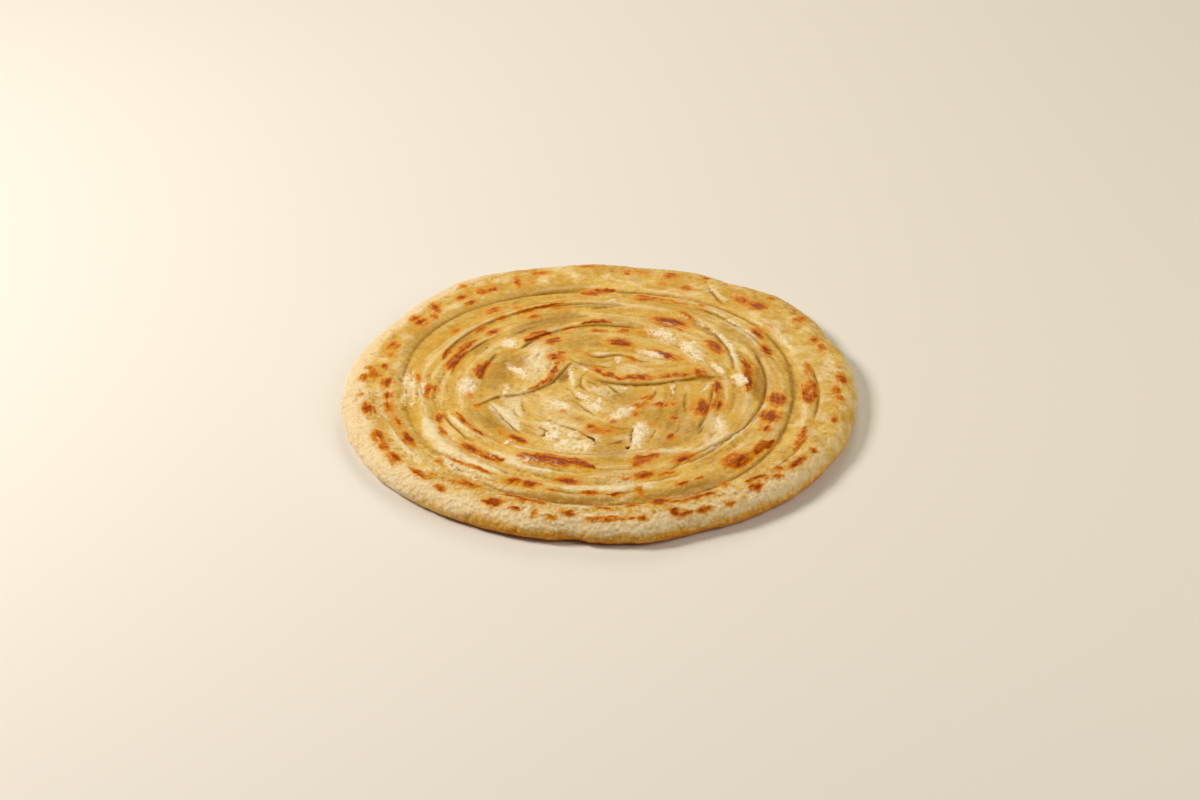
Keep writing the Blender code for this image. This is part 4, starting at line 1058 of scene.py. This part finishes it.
# The strands of the rope are long along the coil and thin across it and downwards.
STRAND_STRETCH = 5.0
out_x, out_y = x - COIL_CENTRE[0], y - COIL_CENTRE[1]
round_coil = np.arctan2(out_y, out_x)
across_strands = np.hypot(out_x, out_y) + z
strands = np.column_stack(
    [across_strands, STRAND_STRETCH * np.cos(round_coil), STRAND_STRETCH * np.sin(round_coil)]
)
attribute = bread.data.attributes.new("strands", "FLOAT_VECTOR", "POINT")
attribute.data.foreach_set("vector", strands.astype(np.float32).ravel())
bread.data.update()
bread.data.shade_smooth()

# Griddled dough: wheat flour, water and ghee, browned in spots. The film of fat gives it a soft, warm sheen,
# thin edges let a little light through, and the burst bubbles and torn layers are dry, pale and grainy.
# On top of that, glints are painted on the bubbles' crowns and the grain, a highlight on crests, and shade
# in creases, hollows and at the foot.
CREAM = "#e3c062"
TAN = "#d1a539"
GOLD = "#c08c20"
SOAKED_AND_SHADE = "#946504"
PALE = "#f2e3ba"
FLAKE = "#f8e8ca"
DRY_RIM = "#ecd4a6"
CRUMB_AND_GLINT = "#fcedd2"
DEEP_SHADE = "#2e1603"
FAT_SHEEN = "#ffc860"
# Toasting from none to burnt: where on the scale, colour, and how much it hides.
TOASTING = (
    (0.06, GOLD, 0.0),
    (0.25, "#dda23a", 0.42),
    (0.42, "#d48a14", 0.88),
    (0.62, "#c87000", 1.0),
    (0.84, "#b25600", 1.0),
    (1.0, "#8c3900", 1.0),
)
# Sizes of the patterns in millimetres. Pores are about 0.1 mm across and too fine to show, so they are drawn
# four times as large.
PATCH_SIZE = 18.2
MOTTLE_SIZE = 3.8
SPECK_SIZE = 1.9
BUBBLE_SIZE = 1.6
GRAIN_SIZE = 1.0
PORE_SIZE = 0.42
LAYER_WIDTH = 2.94
STRAND_WIDTH = 1.1
BUBBLE_WAVER = 1.2
# How much the sheets differ in tone, how ragged the toast marks are, and what breaks up the torn flakes.
SHEET_CONTRAST = 0.35
RAGGEDNESS = 2.1
SPECK_SHREDS = 1.6
GRAIN_SHREDS = 1.8
WHOLE_FLAKE = 1.15
LEAST_CRUMB_AND_GLINT = 0.25


def linear(hex_colour):
    """A linear colour from an sRGB hex value."""
    channels = [int(hex_colour[i : i + 2], 16) / 255.0 for i in (1, 3, 5)]
    return tuple(c / 12.92 if c <= 0.04045 else ((c + 0.055) / 1.055) ** 2.4 for c in channels) + (1.0,)


def add(tree, kind, inputs=None, **settings):
    """Adds a node with its settings. Each input is a value or another node's output."""
    made = tree.nodes.new(kind)
    for name, value in settings.items():
        setattr(made, name, value)
    for socket, value in (inputs or {}).items():
        if isinstance(value, bpy.types.NodeSocket):
            tree.links.new(value, made.inputs[socket])
        else:
            made.inputs[socket].default_value = value
    return made


dough = bpy.data.materials.new("griddled_dough")
dough.use_nodes = True
tree = dough.node_tree
tree.nodes.clear()
tint = {name: add(tree, "ShaderNodeAttribute", attribute_name=name).outputs["Fac"] for name in tint_values}
place = add(tree, "ShaderNodeTexCoord").outputs["Object"]
along_strands = add(tree, "ShaderNodeAttribute", attribute_name="strands").outputs["Vector"]
pattern = {}
for name, vector, size, detail, roughness in (
    ("patches", place, PATCH_SIZE * MM, 3.0, 0.5),
    ("mottle", place, MOTTLE_SIZE * MM, 4.0, 0.5),
    ("specks", place, SPECK_SIZE * MM, 5.0, 0.65),
    ("grain", place, GRAIN_SIZE * MM, 4.0, 0.5),
    ("pores", place, PORE_SIZE * MM, 3.0, 0.5),
    ("layers", along_strands, LAYER_WIDTH, 4.0, 0.6),
    ("strands", along_strands, STRAND_WIDTH, 5.0, 0.6),
):
    inputs = {"Vector": vector, "Scale": 1.0 / size, "Detail": detail, "Roughness": roughness}
    pattern[name] = add(tree, "ShaderNodeTexNoise", inputs).outputs["Fac"]

# Where the rope runs on, its layers follow the coil. At the heart and on the rim they follow the sheets.
inputs = {0: tint["sheet_tone"], 1: SHEET_CONTRAST, 2: 0.5}
sheets = add(tree, "ShaderNodeMath", inputs, operation="MULTIPLY_ADD").outputs[0]
inputs = {0: tint["off_coil"], 2: pattern["layers"], 3: sheets}
layers = add(tree, "ShaderNodeMix", inputs, data_type="FLOAT").outputs[0]
mottle = pattern["mottle"]
paled = add(tree, "ShaderNodeMath", {0: tint["pale"], 1: mottle}, operation="MULTIPLY").outputs[0]
dried = add(tree, "ShaderNodeMath", {0: tint["dry_rim"], 1: mottle}, operation="MULTIPLY").outputs[0]

# Toast marks have ragged edges, from the strands and specks.
specks = pattern["specks"]
ragged = add(tree, "ShaderNodeMath", {0: pattern["strands"], 1: specks}, operation="ADD").outputs[0]
inputs = {0: ragged, 1: RAGGEDNESS, 2: -RAGGEDNESS / 2.0}
ragged = add(tree, "ShaderNodeMath", inputs, operation="MULTIPLY_ADD").outputs[0]
scorch = add(tree, "ShaderNodeMath", {0: tint["toast"], 1: ragged}, operation="MULTIPLY").outputs[0]
browning = add(tree, "ShaderNodeValToRGB", {"Fac": scorch})
ramp = browning.color_ramp
ramp.elements[0].position = TOASTING[0][0]
ramp.elements[1].position = TOASTING[-1][0]
for position, _, _ in TOASTING[1:-1]:
    ramp.elements.new(position)
for element, (_, colour, cover) in zip(ramp.elements, TOASTING):
    element.color = (*linear(colour)[:3], cover)
unburnt = add(tree, "ShaderNodeMath", {0: 1.0, 1: browning.outputs["Alpha"]}, operation="SUBTRACT").outputs[0]

# Torn flakes are broken up by grain and specks, and bubbles waver with the specks.
grain = pattern["grain"]
inputs = {0: specks, 1: SPECK_SHREDS, 2: -WHOLE_FLAKE}
shredded = add(tree, "ShaderNodeMath", inputs, operation="MULTIPLY_ADD").outputs[0]
inputs = {0: grain, 1: GRAIN_SHREDS, 2: shredded}
shredded = add(tree, "ShaderNodeMath", inputs, operation="MULTIPLY_ADD").outputs[0]
torn = add(tree, "ShaderNodeMath", {0: tint["flake"], 1: shredded}, operation="MULTIPLY").outputs[0]
inputs = {0: BUBBLE_WAVER * MM, 6: place, 7: specks.node.outputs["Color"]}
waver = add(tree, "ShaderNodeMix", inputs, data_type="RGBA", blend_type="ADD").outputs[2]
inputs = {"Vector": waver, "Scale": 1.0 / (BUBBLE_SIZE * MM)}
bubbled = add(tree, "ShaderNodeTexVoronoi", inputs, feature="SMOOTH_F1").outputs["Distance"]
# The crowns of the bubbles are painted light, as a painted highlight.
inputs = {"Value": bubbled, "From Min": 0.5, "From Max": 0.12}
lit_bubble_tops = add(tree, "ShaderNodeMapRange", inputs).outputs["Result"]
for factor in (tint["bubbly"], mottle):
    lit_bubble_tops = add(tree, "ShaderNodeMath", {0: lit_bubble_tops, 1: factor}, operation="MULTIPLY").outputs[0]
inputs = {0: tint["bubbly"], 1: 1.0 - LEAST_CRUMB_AND_GLINT, 2: LEAST_CRUMB_AND_GLINT}
crumb_and_glint_share = add(tree, "ShaderNodeMath", inputs, operation="MULTIPLY_ADD").outputs[0]

# Each colour covers the ones before it. Rows are its value, where this starts and is full, the most that it
# covers, what holds it back, and the colour.
skin = linear(CREAM)
for value, start, full, most, held_back_by, colour in (
    (pattern["patches"], 0.35, 0.65, 1.0, (), linear(TAN)),
    (mottle, 0.42, 0.7, 0.7, (), linear(GOLD)),
    (layers, 0.52, 0.68, 0.55, (), linear(GOLD)),
    (layers, 0.48, 0.34, 0.42, (), linear(PALE)),
    (paled, 0.08, 0.5, 0.9, (), linear(PALE)),
    (dried, 0.1, 0.45, 0.9, (), linear(DRY_RIM)),
    # Painted highlight on crests and painted shade in hollows, from how far each place stands above its
    # neighbours.
    (tint["proud_light_and_shade"], 0.05, 0.30, 0.36, (), linear(PALE)),
    (tint["proud_light_and_shade"], -0.03, -0.35, 0.9, (), linear(SOAKED_AND_SHADE)),
    # Soaked colour, also painted as shade in the creases, in recesses, under the flaps and at the foot.
    (tint["soak_and_shade"], 0.1, 1.2, 0.8, (), linear(SOAKED_AND_SHADE)),
    (browning.outputs["Alpha"], 0.0, 1.0, 1.0, (), browning.outputs["Color"]),
    (torn, 0.18, 0.55, 0.95, (), linear(FLAKE)),
    # Bubble crowns and grain in the crumb colour: dry crumbs and painted glints.
    (lit_bubble_tops, 0.05, 0.5, 0.5, (unburnt,), linear(CRUMB_AND_GLINT)),
    (grain, 0.52, 0.74, 0.6, (unburnt, crumb_and_glint_share), linear(CRUMB_AND_GLINT)),
    (grain, 0.46, 0.28, 0.5, (crumb_and_glint_share,), linear(GOLD)),
    (tint["slit"], 0.25, 0.9, 1.0, (), linear(DEEP_SHADE)),
):
    limits = {"Value": value, "From Min": start, "From Max": full, "To Max": most}
    cover = add(tree, "ShaderNodeMapRange", limits).outputs["Result"]
    for factor in held_back_by:
        cover = add(tree, "ShaderNodeMath", {0: cover, 1: factor}, operation="MULTIPLY").outputs[0]
    skin = add(tree, "ShaderNodeMix", {0: cover, 6: skin, 7: colour}, data_type="RGBA").outputs[2]

# Relief too fine for the mesh: pores, bubbles, grain and specks, how strong and how deep in millimetres.
relief = None
for relief_height, strength, depth, hollow in (
    (pattern["pores"], 0.5, 0.2, False),
    (bubbled, tint["bubbly"], 1.2, True),
    (grain, 0.4, 0.6, False),
    (specks, 0.45, 0.9, False),
):
    inputs = {"Height": relief_height, "Strength": strength, "Distance": depth * MM}
    if relief is not None:
        inputs["Normal"] = relief
    relief = add(tree, "ShaderNodeBump", inputs, invert=hollow).outputs["Normal"]
sheen = {"Value": mottle, "From Min": 0.3, "From Max": 0.7, "To Min": 0.24, "To Max": 0.36}
finish = {
    "Base Color": skin,
    "Roughness": add(tree, "ShaderNodeMapRange", sheen).outputs["Result"],
    "IOR": 1.45,
    "Specular IOR Level": 0.18,
    "Specular Tint": linear(FAT_SHEEN),
    "Subsurface Weight": 0.1,
    "Subsurface Radius": (1.0, 0.45, 0.15),
    "Subsurface Scale": 0.8 * MM,
    "Normal": relief,
}
shader = add(tree, "ShaderNodeBsdfPrincipled", finish)
add(tree, "ShaderNodeOutputMaterial", {"Surface": shader.outputs["BSDF"]})
bread.data.materials.clear()
bread.data.materials.append(dough)
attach(bread, "root")
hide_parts("paratha")

# The studio: a plain pale floor of matt card under soft light. The main light stands to the left, level with
# the bread's middle and about 43 degrees above it, so that every fold casts a soft shade to its right.
# A weaker one fills in from the right in front, and one stands behind. Lengths here are in metres.
FLOOR_SIZE = 6.0
FLOOR_DROP = 0.00005
CARD = "#e4e1dc"
CARD_ROUGHNESS = 0.9
SKY = "#f8f0dc"
SKY_STRENGTH = 0.15
# Name, place, side of the square, power and colour.
LIGHTS = (
    ("key", (-0.71, 0.06, 0.67), 0.3, 8.4, "#fff6ea"),
    ("fill", (0.80, -0.30, 0.65), 0.7, 4.75, "#fff4e0"),
    ("back", (0.10, 0.95, 0.66), 0.4, 3.45, "#fff4dc"),
)

bpy.ops.object.select_all(action="DESELECT")
bpy.ops.mesh.primitive_plane_add(size=FLOOR_SIZE, location=(0.0, 0.0, -FLOOR_DROP))
floor = bpy.context.object
floor.name = "floor"
card = bpy.data.materials.new("pale_card")
card.use_nodes = True
card.node_tree.nodes["Principled BSDF"].inputs["Base Color"].default_value = linear(CARD)
card.node_tree.nodes["Principled BSDF"].inputs["Roughness"].default_value = CARD_ROUGHNESS
floor.data.materials.append(card)

world = bpy.data.worlds.new("studio")
bpy.context.scene.world = world
world.use_nodes = True
world.node_tree.nodes["Background"].inputs["Color"].default_value = linear(SKY)
world.node_tree.nodes["Background"].inputs["Strength"].default_value = SKY_STRENGTH

for name, position, size, power, colour in LIGHTS:
    lamp = bpy.data.lights.new(name, "AREA")
    lamp.size = size
    lamp.energy = power
    lamp.color = linear(colour)[:3]
    holder = bpy.data.objects.new(name, lamp)
    holder.location = position
    holder.rotation_euler = (-Vector(position)).to_track_quat("-Z", "Y").to_euler()
    bpy.context.scene.collection.objects.link(holder)

# The camera looks down on the bread from the front, 32 degrees above the table, as in the photograph.
# It looks at the coil's centre, a little above it in the picture. Lengths here are in metres too.
PHOTO_WIDTH = 1200
VIEW_ELEVATION = math.radians(32.2)
VIEW_DISTANCE = 0.95
FOCAL_PIXELS = 2584.0
LOOK_HEIGHT = 0.004
AIM_LIFT = 3.3
SENSOR_WIDTH = 36.0

camera_data = bpy.data.cameras.new("camera")
camera = bpy.data.objects.new("camera", camera_data)
bpy.context.scene.collection.objects.link(camera)
camera_data.sensor_width = SENSOR_WIDTH
camera_data.lens = FOCAL_PIXELS / PHOTO_WIDTH * SENSOR_WIDTH
target = Vector(((COIL_CENTRE[0] - middle[0]) * MM, (COIL_CENTRE[1] - middle[1]) * MM, LOOK_HEIGHT))
backwards = Vector((0.0, -math.cos(VIEW_ELEVATION), math.sin(VIEW_ELEVATION)))
upwards = Vector((0.0, math.sin(VIEW_ELEVATION), math.cos(VIEW_ELEVATION)))
camera.location = target + backwards * VIEW_DISTANCE
aim = target + upwards * (AIM_LIFT / FOCAL_PIXELS * VIEW_DISTANCE)
camera.rotation_euler = (aim - camera.location).to_track_quat("-Z", "Y").to_euler()
bpy.context.scene.camera = camera
bpy.context.scene.view_settings.view_transform = "Standard"
